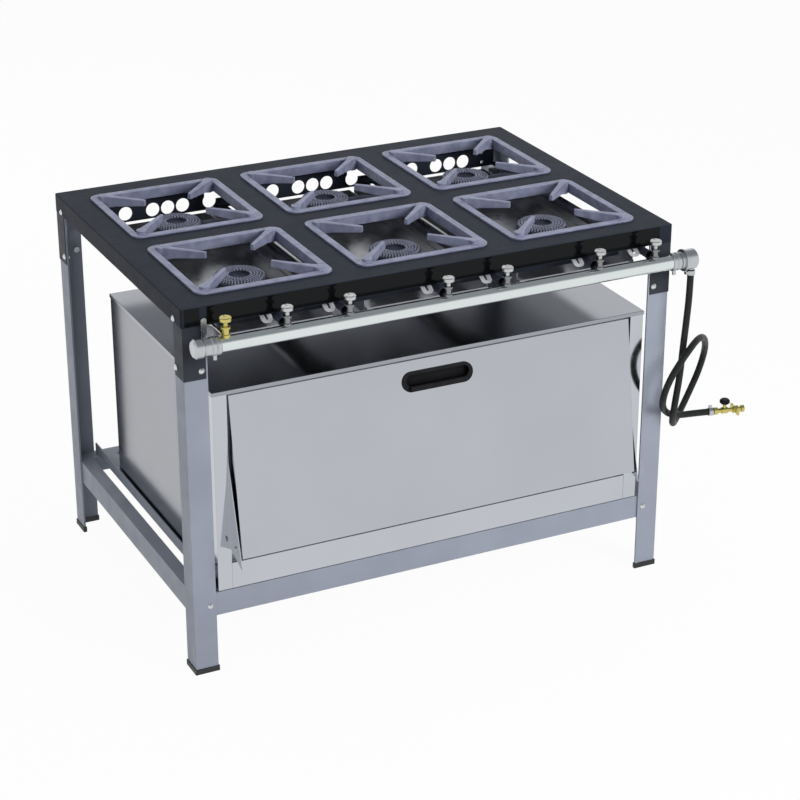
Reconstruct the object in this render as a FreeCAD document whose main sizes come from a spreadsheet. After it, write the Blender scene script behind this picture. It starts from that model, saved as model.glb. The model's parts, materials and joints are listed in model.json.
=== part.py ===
import FreeCAD, Part
import math
import os
import re
import Sketcher
from FreeCAD import Placement, Rotation, Vector

# Driving sizes in millimetres
SIZES = {
    "plate_width": 1127, "plate_depth": 778, "stove_height": 825, "sheet_gauge": 1.5,
    "skirt_drop": 40, "plate_round": 2, "plate_corner": 5,
    "pitch_across": 357, "pitch_deep": 361, "rows_shift": 4.4,
    "cutout_size": 284, "cutout_corner": 18,
    "grate_size": 300, "grate_corner": 22, "grate_rim": 4, "grate_drop": 18, "grate_wall": 6,
    "grate_gap": 1,
    "finger_root": 176, "finger_middle": 140, "finger_tip": 73, "finger_rise": 10, "finger_low": 10,
    "fingers": 4,
    "finger_root_width": 22, "finger_middle_width": 14, "finger_tip_width": 9, "finger_tip_height": 13,
    "finger_taper": 0.72, "burner_radius": 55, "burner_drop": 29, "burner_depth": 36, "burner_foot": 26,
    "burner_hip": 34, "hip_rise": 8, "bowl_rise": 14, "burner_well": 25, "well_depth": 8, "well_lip": 4,
    "crown_edge": 6, "crown_lip": 1, "flame_slots": 16, "slot_width": 3, "slot_depth": 10,
    "slot_length": 16,
    "tube_drop": 51, "tube_radius": 11, "tube_bore": 7, "tube_bend": 45, "tube_start": 10,
    "tube_overlap": 1,
    "elbow_swell": 0.8, "neck_radius": 9, "mouth_radius": 11, "mouth_wall": 2, "mouth_out": 24,
    "mouth_length": 10,
    "bore_depth": 28, "collar_radius": 19, "collar_length": 4,
    "prop_width": 6, "prop_depth": 14, "prop_round": 2, "prop_forward": 144,
    "screw_back": 37.5, "screw_rise": 7.5, "stud_radius": 2.5, "head_radius": 4.8, "head_height": 3,
    "lug_half": 8, "lug_gauge": 3,
    "panel_offset": 150, "panel_length": 924, "panel_gauge": 2, "panel_drop": 71, "panel_flange": 14,
    "hole_radius": 16, "hole_step": 35.8, "hole_reach": 100.5, "notch_width": 108, "notch_drop": 47.5,
    "tray_width": 282, "tray_wall": 14, "tray_drop": 100, "tray_gauge": 1.2, "tray_front": 44,
    "tray_back": 39,
    "ledge_width": 14, "ledge_gauge": 1.5, "ledge_gap": 0.2, "web_top": 64, "slide_gap": 0.8,
    "bracket_width": 48, "bracket_height": 155,
    "leg_width": 50, "leg_gauge": 4, "foot_height": 12, "foot_lip": 2, "foot_floor": 2,
    "rail_top": 182, "rail_height": 53, "rail_gauge": 3, "rail_flange": 30,
    "bolt_head": 6.5, "bolt_shank": 3, "bolt_dome": 4, "fit_gap": 0.1, "bolt_side": 40, "bolt_back": 42,
    "tab_bolt_drop": 137, "skirt_bolt_drop": 32,
    "runner_gauge": 3, "runner_width": 40, "runner_height": 25, "runner_gap": 4, "runner_end": 18,
    "pipe_out": 45, "pipe_drop": 67, "pipe_radius": 16, "pipe_wall": 2.5, "pipe_right": 560,
    "pipe_left": 550,
    "cap_radius": 20, "cap_length": 18.5, "cap_inset": 5, "cap_bevel": 4, "sleeve_left": 529.5,
    "sleeve_length": 14.5, "sleeve_wall": 2.5, "clamp_radius": 19.5, "clamp_width": 20, "clamp_groove": 1.5,
    "clamp_left": 512, "clamp_right": 543, "clamp_sink": 2, "screw_radius": 4, "screw_drop": 10,
    "strap_gauge": 3, "strap_width": 12, "strap_shift": 5, "strap_step": 6, "strap_top": 24,
    "strap_low": 30,
    "tap_radius": 8, "tap_rise": 36.5, "tap_shoulder": 4, "tap_waist": 2, "tap_collar": 4, "tap_step": 1,
    "nozzle_radius": 4.5, "nozzle_in": 8, "oven_tap_side": 488, "oven_tap_reach": 23,
    "spindle_radius": 2.5, "spindle_length": 5, "spindle_gap": 0.5, "knob_radius": 12.5, "knob_height": 20,
    "knob_hub": 4.5, "knob_neck": 8, "knob_flare": 4, "knob_edge": 1.5, "grip_width": 2, "grip_depth": 1.5,
    "shutter_width": 24, "shutter_front": 25, "shutter_back": 12, "shutter_round": 9, "shutter_gauge": 2,
    "shutter_travel": 15, "shutter_side": 25, "shutter_lean": 30, "slot_play": 0.5,
    "elbow_side": 586, "elbow_radius": 22, "elbow_drop": 24, "outlet_radius": 7,
    "socket_start": 32, "socket_radius": 19, "flange_start": 24, "flange_radius": 24, "drum_start": 20,
    "drum_end": 7, "drum_bevel": 3,
    "oven_width": 1006, "oven_depth": 603, "oven_top": 634, "oven_back": 6, "oven_gauge": 1.5,
    "lid_lip": 8.5,
    "lid_round": 1.2, "post_width": 31.5, "sill_height": 58.5, "seam_width": 0.8, "seam_depth": 0.6,
    "front_depth": 18,
    "cheek_top": 477, "cheek_out": 60, "cheek_low": 254, "cheek_heel": 277, "cheek_sink": 1,
    "door_width": 934, "door_top": 621, "door_low": 275, "door_out": 50, "door_in": 2, "door_gauge": 1.5,
    "door_foot": 34, "door_depth": 44, "door_heel": 12, "door_knee": 22, "door_head": 12,
    "pivot_depth": 22, "pivot_rise": 17.3, "pivot_radius": 3, "pivot_gap": 0.05, "pivot_reach": 5,
    "rivet_radius": 6, "rivet_head": 2,
    "handle_width": 165, "handle_height": 44, "handle_rise": 304, "handle_lip": 9, "handle_recess": 9,
    "bezel_gauge": 2.5, "bezel_rim": 4, "cup_wall": 1.5, "cup_gap": 0.2, "lip_width": 132, "lip_height": 15,
    "lip_drop": 12, "recess_rise": 3, "recess_side": 9, "recess_edge": 10, "oval_flat": 0.5,
    "liner_half": 452, "liner_low": 262, "liner_top": 605, "liner_back": 560, "liner_gauge": 1.2,
    "shelf_height": 430, "shelf_width": 14, "shelf_gauge": 4, "shelf_inset": 12,
    "vent_half": 20, "vent_front": 120, "vent_back": 480, "floor_half": 430, "floor_rise": 28,
    "floor_end": 20,
    "rack_rod": 3, "rack_bars": 13, "rack_gap": 4, "rack_near": 20, "rack_far": 24, "bar_inset": 24,
    "bar_radius": 2.4,
    "oven_burner_radius": 12.5, "oven_burner_height": 230, "oven_burner_bend": 60, "oven_burner_wall": 6,
    "oven_burner_reach": 500, "stand_side": 300, "stand_back": 440, "stand_width": 30, "stand_depth": 16,
    "stand_round": 4, "feed_radius": 4, "feed_back": 40, "feed_side": 19,
    "hose_radius": 7.5, "band_start": 2, "band_width": 10, "band_wall": 2, "ear_inset": 2, "ear_out": 5,
    "ear_half": 4,
    "valve_radius": 7.5, "valve_length": 72, "valve_nut": 9, "valve_neck": 8, "valve_barrel": 14,
    "valve_step": 1,
    "valve_seat": 7, "nut_lip": 1, "neck_depth": 2, "tail_depth": 2.5, "seat_lip": 0.5,
    "stem_at": 26, "stem_radius": 4, "stem_rise": 9, "valve_knob_radius": 11.5, "valve_knob_height": 11,
    "valve_knob_bevel": 3, "scallops": 6, "scallop_radius": 3.5, "scallop_out": 1.5,
    "wing_at": 46, "wing_length": 12, "wing_lip": 1, "wing_span": 44, "blade_inset": 3, "blade_gauge": 5,
    "blade_sink": 0.5, "blade_sweep": 1, "blade_root": 4, "blade_low": 6, "blade_high": 5,
}

# Shares and limits used by the drawing helpers
ARC_SHARE = 0.45
ROUND_SHARE = 0.45
FULL_TURN = 360
NEARLY_ONE = 0.999
TINY = 0.01
FIRST_ANGLE = 10

# Bent hose route, as steps from the outlet of the inlet elbow to the supply valve
HOSE_ROUTE = [
    (0, 0, 0), (0, 0, -57), (-2.5, 2.5, -121), (-1, 12.5, -188.5), (-6.5, 10, -251.5), (-20, 3.5, -313.5),
    (-4.5, 36.5, -386.5), (59, 111.5, -409.5), (112.5, 148, -371), (139, 148.5, -315.5), (131.5, 116.5, -241),
    (48, 17, -166), (-20, -22.5, -193), (-57, -25.5, -241), (-60.5, -5.5, -298.5), (-22, 40.5, -350),
    (21, 59, -375), (72, 61, -380), (116, 51, -380),
]

# Places worked out from the sizes
FRONT = "((pipe_out + cap_radius - plate_depth + sheet_gauge - bolt_dome) / 2)"
BACK = f"({FRONT} + plate_depth)"
SIDE = "(plate_width / 2)"
TOP = "stove_height"
UNDER = "(stove_height - sheet_gauge)"
ROW_MIDDLE = f"(({FRONT} + {BACK}) / 2 - rows_shift)"
ROWS = {"front": f"({ROW_MIDDLE} - pitch_deep / 2)", "back": f"({ROW_MIDDLE} + pitch_deep / 2)"}
COLUMNS = {"left": "(-pitch_across)", "middle": "0", "right": "pitch_across"}
PANEL_FRONT = f"({ROWS['front']} - panel_offset)"
PANEL_BACK = f"({ROWS['back']} + panel_offset)"
BACK_TUBE = "(hole_step + hole_reach)"
PIPE_Y = f"({FRONT} - pipe_out)"
PIPE_Z = "(stove_height - pipe_drop)"
LEG_INSET = "(2 * sheet_gauge)"
LEG_INNER = f"({LEG_INSET} + leg_gauge)"
OVEN_FRONT = f"({FRONT} + oven_back)"
OVEN_LOW = "(rail_top + runner_gauge)"
OVEN_HALF = "(oven_width / 2)"
LEAN = "atan((door_out + door_in) / (door_top - door_low))"
DOOR_LENGTH = "sqrt((door_out + door_in) ^ 2 + (door_top - door_low) ^ 2)"
DOOR_Y = f"({OVEN_FRONT} - door_out)"
PIVOT_Y = f"({DOOR_Y} + pivot_depth * cos({LEAN}) + pivot_rise * sin({LEAN}))"
PIVOT_Z = f"(door_low - pivot_depth * sin({LEAN}) + pivot_rise * cos({LEAN}))"

doc = FreeCAD.newDocument("stove")
sheet = doc.addObject("Spreadsheet::Sheet", "sizes")
for row, (name, number) in enumerate(SIZES.items(), 1):
    sheet.set(f"A{row}", name)
    sheet.set(f"B{row}", str(number))
    sheet.setAlias(f"B{row}", name)
doc.recompute()
nodes = []


# Binding of expressions to the sheet
def bound(text):
    def named(word):
        return "sizes." + word.group() if word.group() in SIZES else word.group()
    return re.sub(r"[a-z][a-z_]*", named, str(text))


def value(text):
    result = sheet.evalExpression(bound(text))
    return float(getattr(result, "Value", result))


def spot(*texts):
    return Vector(*[value(text) for text in texts])


# Bodies, sketches and features
def new_body(label, listed=True):
    body = doc.addObject("PartDesign::Body", label)
    body.Label = label
    if listed:
        nodes.append(body)
    return body


def place(item, x="0", y="0", z="0", axis=None, angle="0"):
    if axis:
        item.Placement = Placement(Vector(), Rotation(axis, FIRST_ANGLE))
        item.setExpression("Placement.Rotation.Angle", bound(angle))
    for letter, text in zip("xyz", (x, y, z)):
        item.setExpression(f"Placement.Base.{letter}", bound(text))


def group(label, members):
    compound = doc.addObject("Part::Compound", label)
    compound.Label = label
    compound.Links = members
    nodes.append(compound)
    return compound


def origin(body, role):
    return next(item for item in body.Origin.OriginFeatures if item.Role == role)


def sketch(body, role, height="0", shift="0"):
    drawn = body.newObject("Sketcher::SketchObject", body.Name + "_sketch")
    drawn.AttachmentSupport = [(origin(body, role + "_Plane"), "")]
    drawn.MapMode = "FlatFace"
    sign = "-" if role == "XZ" else ""
    drawn.setExpression("AttachmentOffset.Base.z", bound(f"{sign}({height})"))
    drawn.setExpression("AttachmentOffset.Base.x", bound(shift))
    return drawn


def tilt(drawn, axis, angle):
    offset = drawn.AttachmentOffset
    offset.Rotation = Rotation(axis, FIRST_ANGLE)
    drawn.AttachmentOffset = offset
    drawn.setExpression("AttachmentOffset.Rotation.Angle", bound(angle))
    return drawn


def pin_point(drawn, item, point, x, y):
    for kind, text in (("DistanceX", x), ("DistanceY", y)):
        number = drawn.addConstraint(Sketcher.Constraint(kind, -1, 1, item, point, value(text)))
        drawn.setExpression(f"Constraints[{number}]", bound(text))


def pin_radius(drawn, item, radius):
    number = drawn.addConstraint(Sketcher.Constraint("Radius", item, value(radius)))
    drawn.setExpression(f"Constraints[{number}]", bound(radius))


def polygon(drawn, corners):
    first = drawn.GeometryCount
    count = len(corners)
    points = [spot(x, y, "0") for x, y in corners]
    for number in range(count):
        drawn.addGeometry(Part.LineSegment(points[number], points[(number + 1) % count]), False)
    for number in range(count):
        after = first + (number + 1) % count
        drawn.addConstraint(Sketcher.Constraint("Coincident", first + number, 2, after, 1))
    for number, (x, y) in enumerate(corners):
        pin_point(drawn, first + number, 1, x, y)
    return drawn


def box(drawn, left, low, right, high):
    return polygon(drawn, [(left, low), (right, low), (right, high), (left, high)])


def circle(drawn, x, y, radius):
    item = drawn.addGeometry(Part.Circle(spot(x, y, "0"), Vector(0, 0, 1), value(radius)), False)
    pin_point(drawn, item, 3, x, y)
    pin_radius(drawn, item, radius)
    return drawn


def rounded(drawn, x, y, width, height, radius):
    first = drawn.GeometryCount
    out, up, bend = value(f"({width}) / 2"), value(f"({height}) / 2"), value(radius)
    middle = spot(x, y, "0")
    signs = [(1, -1), (1, 1), (-1, 1), (-1, -1)]
    starts = [(-1, -1), (1, -1), (1, 1), (-1, 1)]
    for number, (across, along) in enumerate(signs):
        flat = number % 2 == 0
        before = starts[number]
        if flat:
            ends = [(before[0] * (out - bend), before[1] * up), (across * (out - bend), along * up)]
        else:
            ends = [(before[0] * out, before[1] * (up - bend)), (across * out, along * (up - bend))]
        line = [middle + Vector(a, b, 0) for a, b in ends]
        drawn.addGeometry(Part.LineSegment(*line), False)
        centre = middle + Vector(across * (out - bend), along * (up - bend), 0)
        turn_from = math.radians(90 * number - 90)
        round_off = Part.Circle(centre, Vector(0, 0, 1), bend)
        drawn.addGeometry(Part.ArcOfCircle(round_off, turn_from, turn_from + math.pi / 2), False)
    for number in range(8):
        after = first + (number + 1) % 8
        drawn.addConstraint(Sketcher.Constraint("Tangent", first + number, 2, after, 1))
    for number, (across, along) in enumerate(signs):
        arc = first + 2 * number + 1
        pin_point(drawn, arc, 3, f"{x} + {across} * (({width}) / 2 - ({radius}))",
                  f"{y} + {along} * (({height}) / 2 - ({radius}))")
        pin_radius(drawn, arc, radius)
    return drawn


def pad(body, drawn, length, reverse=False, both=False):
    feature = body.newObject("PartDesign::Pad", body.Name + "_pad")
    feature.Profile = drawn
    feature.setExpression("Length", bound(length))
    feature.Reversed = reverse
    if both:
        feature.SideType = "Symmetric"
    return feature


def pocket(body, drawn, length=None, reverse=False, both=False):
    doc.recompute()
    before = body.Shape.Volume
    feature = body.newObject("PartDesign::Pocket", body.Name + "_pocket")
    feature.Profile = drawn
    feature.Reversed = reverse
    if both:
        feature.SideType = "Symmetric"
    if length is None:
        feature.Type = "ThroughAll"
    else:
        feature.setExpression("Length", bound(length))
    doc.recompute()
    if body.Shape.Volume > before - 1:
        raise RuntimeError(f"{feature.Name} cut nothing")
    return feature


def turn(body, drawn, axis):
    feature = body.newObject("PartDesign::Revolution", body.Name + "_turn")
    feature.Profile = drawn
    feature.ReferenceAxis = (drawn, [axis])
    feature.Angle = FULL_TURN
    return feature


def round_edges(body, base, radius, chosen):
    doc.recompute()
    names = [f"Edge{number}" for number, edge in enumerate(base.Shape.Edges, 1) if chosen(edge)]
    feature = body.newObject("PartDesign::Fillet", body.Name + "_round")
    feature.Base = (base, names)
    feature.setExpression("Radius", bound(radius))
    doc.recompute()
    return feature


def around(body, originals, count):
    feature = body.newObject("PartDesign::PolarPattern", body.Name + "_around")
    feature.Originals = originals
    feature.Axis = (origin(body, "Z_Axis"), [""])
    feature.Angle = FULL_TURN
    feature.setExpression("Occurrences", bound(count))
    body.Tip = feature
    return feature


def runs_along(edge, letter):
    line = edge.tangentAt(edge.FirstParameter)
    return abs(getattr(line, letter)) > NEARLY_ONE and len(edge.Vertexes) == 2


# Tube bent along a route: straight runs joined by tangent arcs
def bent_tube(label, route, radius):
    points = [Vector(*point) for point in route]
    edges = []
    radii = []
    start = points[0]
    length = 0
    for before, corner, after in zip(points, points[1:], points[2:]):
        come = (corner - before).normalize()
        leave = (after - corner).normalize()
        half = come.getAngle(leave) / 2
        reach = ARC_SHARE * min((corner - before).Length, (after - corner).Length)
        bend = reach / math.tan(half)
        enter = corner - come * reach
        leaving = corner + leave * reach
        inward = (leave - come).normalize()
        middle = corner + inward * (bend / math.cos(half) - bend)
        edges.append(Part.LineSegment(start, enter).toShape())
        edges.append(Part.Arc(enter, middle, leaving).toShape())
        radii.append(bend)
        length += (enter - start).Length + bend * 2 * half
        start = leaving
    edges.append(Part.LineSegment(start, points[-1]).toShape())
    length += (points[-1] - start).Length
    path = Part.Wire(edges)
    rim = Part.Wire([Part.Circle(points[0], points[1] - points[0], radius).toShape()])
    tube = doc.addObject("Part::Feature", label)
    tube.Label = label
    tube.Shape = Part.Solid(path.makePipeShell([rim], True, False))
    share = tube.Shape.Volume / (math.pi * radius ** 2 * length)
    if abs(share - 1) > TINY:
        raise RuntimeError(f"{label} volume is {share:.3f} of section times length")
    print(f"{label}: length {length:.0f}, tightest bend {min(radii):.1f}, all {[round(r) for r in radii]}")
    nodes.append(tube)
    return tube


# Places of the bolts on one corner: face, distance along it, height
def corner_bolts(x_sign, y_sign):
    edge = BACK if y_sign > 0 else FRONT
    across = f"({x_sign} * ({SIDE} - bolt_side))"
    behind = f"({edge} - {y_sign} * bolt_back)"
    return {
        "tab": ("XZ", across, f"({TOP} - tab_bolt_drop)", f"({edge} - {y_sign} * sheet_gauge)",
                "sheet_gauge + leg_gauge"),
        "rail": ("XZ", across, "(rail_top - rail_height / 2)", f"({edge} - {y_sign} * {LEG_INSET})",
                 "leg_gauge + rail_gauge"),
        "skirt": ("YZ", behind, f"({TOP} - skirt_bolt_drop)", f"({x_sign} * {SIDE})",
                  "2 * sheet_gauge + leg_gauge"),
        "side": ("YZ", behind, f"({TOP} - tab_bolt_drop)", f"({x_sign} * ({SIDE} - sheet_gauge))",
                 "sheet_gauge + leg_gauge"),
    }


def drill(body, bolts, names):
    for face in ("XZ", "YZ"):
        chosen = [bolts[name] for name in names if bolts[name][0] == face]
        for _, along, height, _, _ in chosen:
            drawn = circle(sketch(body, face), along, height, "bolt_shank + fit_gap")
            pocket(body, drawn, "2 * plate_width", both=True)


def angle_section(drawn, x, y, x_sign, y_sign, width, gauge):
    far_x, near_x = f"{x} - {x_sign} * ({width})", f"{x} - {x_sign} * ({gauge})"
    far_y, near_y = f"{y} - {y_sign} * ({width})", f"{y} - {y_sign} * ({gauge})"
    corners = [(x, y), (far_x, y), (far_x, near_y), (near_x, near_y), (near_x, far_y), (x, far_y)]
    return polygon(drawn, corners)


CORNERS = {"front_left": (-1, -1), "front_right": (1, -1), "back_left": (-1, 1), "back_right": (1, 1)}

# Top plate: folded sheet with a skirt and six cut-outs
plate = new_body("top_plate")
outline = box(sketch(plate, "XY", f"{TOP} - skirt_drop"), f"-{SIDE}", FRONT, SIDE, BACK)
folded = pad(plate, outline, "skirt_drop")
folded = round_edges(plate, folded, "plate_corner", lambda edge: runs_along(edge, "z"))
round_edges(plate, folded, "plate_round", lambda edge: edge.BoundBox.ZMin > value(TOP) - TINY)
inside = box(sketch(plate, "XY", f"{TOP} - skirt_drop"), f"-{SIDE} + sheet_gauge", f"{FRONT} + sheet_gauge",
             f"{SIDE} - sheet_gauge", f"{BACK} - sheet_gauge")
pocket(plate, inside, "skirt_drop - sheet_gauge", reverse=True)
cutouts = sketch(plate, "XY", TOP)
for row in ROWS.values():
    for column in COLUMNS.values():
        rounded(cutouts, column, row, "cutout_size", "cutout_size", "cutout_corner")
pocket(plate, cutouts, "3 * sheet_gauge")
for corner in CORNERS.values():
    drawn = corner_bolts(*corner)["skirt"]
    hole = sketch(plate, "YZ", drawn[3])
    circle(hole, drawn[1], drawn[2], "bolt_shank + fit_gap")
    pocket(plate, hole, "4 * sheet_gauge", both=True)

# Corner brackets, legs and foot caps
brackets = []
caps = []
for name, (x_sign, y_sign) in CORNERS.items():
    edge = BACK if y_sign > 0 else FRONT
    bolts = corner_bolts(x_sign, y_sign)
    bracket = new_body(f"corner_bracket_{name}", listed=False)
    drawn = sketch(bracket, "XY", f"{TOP} - bracket_height")
    angle_section(drawn, f"{x_sign} * ({SIDE} - sheet_gauge)", f"{edge} - {y_sign} * sheet_gauge",
                  x_sign, y_sign, "bracket_width", "sheet_gauge")
    pad(bracket, drawn, "bracket_height - sheet_gauge")
    drill(bracket, bolts, ("tab", "skirt", "side"))
    brackets.append(bracket)
    leg = new_body(f"leg_{name}")
    leg_x, leg_y = f"{x_sign} * ({SIDE} - {LEG_INSET})", f"{edge} - {y_sign} * {LEG_INSET}"
    drawn = sketch(leg, "XY", "foot_floor")
    angle_section(drawn, leg_x, leg_y, x_sign, y_sign, "leg_width", "leg_gauge")
    pad(leg, drawn, f"{UNDER} - foot_floor")
    drill(leg, bolts, ("tab", "rail", "skirt", "side"))
    cap = new_body(f"foot_cap_{name}", listed=False)
    drawn = sketch(cap, "XY")
    angle_section(drawn, f"{leg_x} + {x_sign} * foot_lip", f"{leg_y} + {y_sign} * foot_lip",
                  x_sign, y_sign, "leg_width + 2 * foot_lip", "leg_gauge + 2 * foot_lip")
    pad(cap, drawn, "foot_height")
    socket = sketch(cap, "XY", "foot_height")
    angle_section(socket, leg_x, leg_y, x_sign, y_sign, "leg_width", "leg_gauge")
    pocket(cap, socket, "foot_height - foot_floor")
    caps.append(cap)
group("corner_brackets", brackets)
group("foot_caps", caps)

# Lower rails: folded angles between the legs
for name, y_sign, edge in (("rail_front", -1, FRONT), ("rail_back", 1, BACK)):
    rail = new_body(name)
    outer = f"{edge} - {y_sign} * {LEG_INNER}"
    drawn = polygon(sketch(rail, "YZ"), [
        (outer, "rail_top - rail_height"), (f"{outer} - {y_sign} * rail_gauge", "rail_top - rail_height"),
        (f"{outer} - {y_sign} * rail_gauge", "rail_top - rail_gauge"),
        (f"{outer} - {y_sign} * rail_flange", "rail_top - rail_gauge"),
        (f"{outer} - {y_sign} * rail_flange", "rail_top"), (outer, "rail_top")])
    pad(rail, drawn, f"2 * ({SIDE} - {LEG_INNER})", both=True)
    for x_sign in (-1, 1):
        bolt = corner_bolts(x_sign, y_sign)["rail"]
        pocket(rail, circle(sketch(rail, "XZ", outer), bolt[1], bolt[2], "bolt_shank + fit_gap"),
               "3 * rail_gauge", both=True)
for name, x_sign in (("rail_left", -1), ("rail_right", 1)):
    rail = new_body(name)
    outer = f"{x_sign} * ({SIDE} - {LEG_INNER})"
    drawn = polygon(sketch(rail, "XZ", f"{BACK} - {LEG_INNER} - rail_flange"), [
        (outer, "rail_top - rail_height"), (f"{outer} - {x_sign} * rail_gauge", "rail_top - rail_height"),
        (f"{outer} - {x_sign} * rail_gauge", "rail_top - rail_gauge"),
        (f"{outer} - {x_sign} * rail_flange", "rail_top - rail_gauge"),
        (f"{outer} - {x_sign} * rail_flange", "rail_top"), (outer, "rail_top")])
    pad(rail, drawn, f"plate_depth - 2 * ({LEG_INNER} + rail_flange)")

# Runners that carry the oven across the rails
runners = []
for name, x_sign in (("left", -1), ("right", 1)):
    runner = new_body(f"oven_runner_{name}", listed=False)
    face = f"{x_sign} * ({OVEN_HALF} + runner_gap)"
    drawn = polygon(sketch(runner, "XZ", f"{BACK} - runner_end"), [
        (f"{face} - {x_sign} * runner_width", "rail_top"), (f"{face} + {x_sign} * runner_gauge", "rail_top"),
        (f"{face} + {x_sign} * runner_gauge", "rail_top + runner_height"), (face, "rail_top + runner_height"),
        (face, OVEN_LOW), (f"{face} - {x_sign} * runner_width", OVEN_LOW)])
    pad(runner, drawn, "plate_depth - 2 * runner_end")
    runners.append(runner)
group("oven_runners", runners)

# Bolts with domed heads and nuts
bolts = []
for name, (x_sign, y_sign) in CORNERS.items():
    for kind, (face, along, height, depth, grip) in corner_bolts(x_sign, y_sign).items():
        bolt = new_body(f"bolt_{name}_{kind}", listed=False)
        drawn = polygon(sketch(bolt, "XZ"), [
            ("0", "bolt_dome"), ("bolt_head / 2", "bolt_dome"), ("bolt_head", "bolt_dome / 4"),
            ("bolt_head", "0"), ("bolt_shank", "0"), ("bolt_shank", f"-({grip})"), ("bolt_head", f"-({grip})"),
            ("bolt_head", f"-({grip}) - bolt_dome"), ("0", f"-({grip}) - bolt_dome")])
        turn(bolt, drawn, "V_Axis")
        if face == "XZ":
            place(bolt, along, depth, height, Vector(1, 0, 0), str(-90 * y_sign))
        else:
            place(bolt, depth, along, height, Vector(0, 1, 0), str(90 * x_sign))
        bolts.append(bolt)
group("frame_bolts", bolts)

# Pierced panels under the plate that hold the burner tubes
panels = []
HOLES = ["-(hole_reach - hole_step)", "0", "hole_step", "2 * hole_step", BACK_TUBE]
for name, y, y_sign in (("front", PANEL_FRONT, -1), ("back", PANEL_BACK, 1)):
    panel = new_body(f"support_panel_{name}", listed=False)
    near = f"{y} + {y_sign} * panel_gauge"
    drawn = polygon(sketch(panel, "YZ"), [
        (y, f"{TOP} - panel_drop"), (near, f"{TOP} - panel_drop"), (near, f"{UNDER} - panel_gauge"),
        (f"{near} + {y_sign} * panel_flange", f"{UNDER} - panel_gauge"),
        (f"{near} + {y_sign} * panel_flange", UNDER), (y, UNDER)])
    pad(panel, drawn, "panel_length", both=True)
    for column, middle in COLUMNS.items():
        for offset in HOLES:
            if column == "right" and offset == BACK_TUBE:
                continue
            hole = circle(sketch(panel, "XZ", y), f"{middle} + {offset}", f"{TOP} - tube_drop", "hole_radius")
            pocket(panel, hole, "3 * panel_gauge", both=True)
    for middle in ("(-pitch_across / 2)", "(pitch_across / 2)"):
        notch = box(sketch(panel, "XZ", y), f"{middle} - notch_width / 2", f"{TOP} - notch_drop",
                    f"{middle} + notch_width / 2", f"{UNDER} - 2 * panel_gauge")
        pocket(panel, notch, "3 * panel_gauge", both=True)
    panels.append(panel)
group("support_panels", panels)

# Cast grates with four tapered fingers that grow out of round heads in the corners
FINGER_SECTIONS = [
    ("finger_root", "finger_root_width", "-grate_drop", "finger_rise"),
    ("finger_middle", "finger_middle_width", "-finger_low", "finger_rise"),
    ("finger_tip", "finger_tip_width", "finger_rise - finger_tip_height", "finger_rise"),
]


def grate(label, x, y):
    body = new_body(label)
    pad(body, rounded(sketch(body, "XY"), "0", "0", "grate_size", "grate_size", "grate_corner"), "grate_rim")
    wall = "(cutout_size - 2 * grate_gap)"
    pad(body, rounded(sketch(body, "XY", "-grate_drop"), "0", "0", wall, wall, "cutout_corner - grate_gap"),
        "grate_drop")
    inner = f"({wall} - 2 * grate_wall)"
    window = rounded(sketch(body, "XY", "grate_rim"), "0", "0", inner, inner, "cutout_corner - grate_gap")
    pocket(body, window)
    sections = []
    for reach, width, low, high in FINGER_SECTIONS:
        drawn = sketch(body, "XZ", f"-{reach} / sqrt(2)", f"{reach} / sqrt(2)")
        tilt(drawn, Vector(0, 1, 0), "45")
        polygon(drawn, [(f"-{width} / 2", low), (f"{width} / 2", low), (f"{width} * finger_taper / 2", high),
                        (f"-{width} * finger_taper / 2", high)])
        sections.append(drawn)
    finger = body.newObject("PartDesign::AdditiveLoft", body.Name + "_finger")
    finger.Profile = sections[0]
    finger.Sections = sections[1:]
    finger.Ruled = True
    head = circle(sketch(body, "XY", "-grate_drop"), "finger_root / sqrt(2)", "-finger_root / sqrt(2)",
                  "finger_root_width / 2")
    around(body, [finger, pad(body, head, "grate_drop + finger_rise")], "fingers")
    place(body, x, y, TOP)


for row_name, row in ROWS.items():
    for column_name, column in COLUMNS.items():
        grate(f"grate_{row_name}_{column_name}", column, row)


# Cast burners with slotted heads and mixing tubes, each with a sloping lug for its air shutter
ALONG, RISE = "cos(shutter_lean)", "sin(shutter_lean)"


def burner_head(body):
    foot = "-burner_drop - burner_depth"
    drawn = polygon(sketch(body, "XZ"), [
        ("0", foot), ("burner_foot", foot), ("burner_hip", f"{foot} + hip_rise"),
        ("burner_radius", f"{foot} + bowl_rise"), ("burner_radius", "-burner_drop - crown_edge"),
        ("burner_radius - crown_edge", "-burner_drop - crown_lip"),
        ("burner_well + well_lip", "-burner_drop"), ("burner_well", "-burner_drop - crown_lip"),
        ("burner_well", "-burner_drop - well_depth"),
        ("0", "-burner_drop - well_depth")])
    turn(body, drawn, "V_Axis")
    slot = box(sketch(body, "XY", "-burner_drop"), "burner_radius - slot_length", "-slot_width / 2",
               "2 * burner_radius", "slot_width / 2")
    around(body, [pocket(body, slot, "slot_depth")], "flame_slots")


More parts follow.
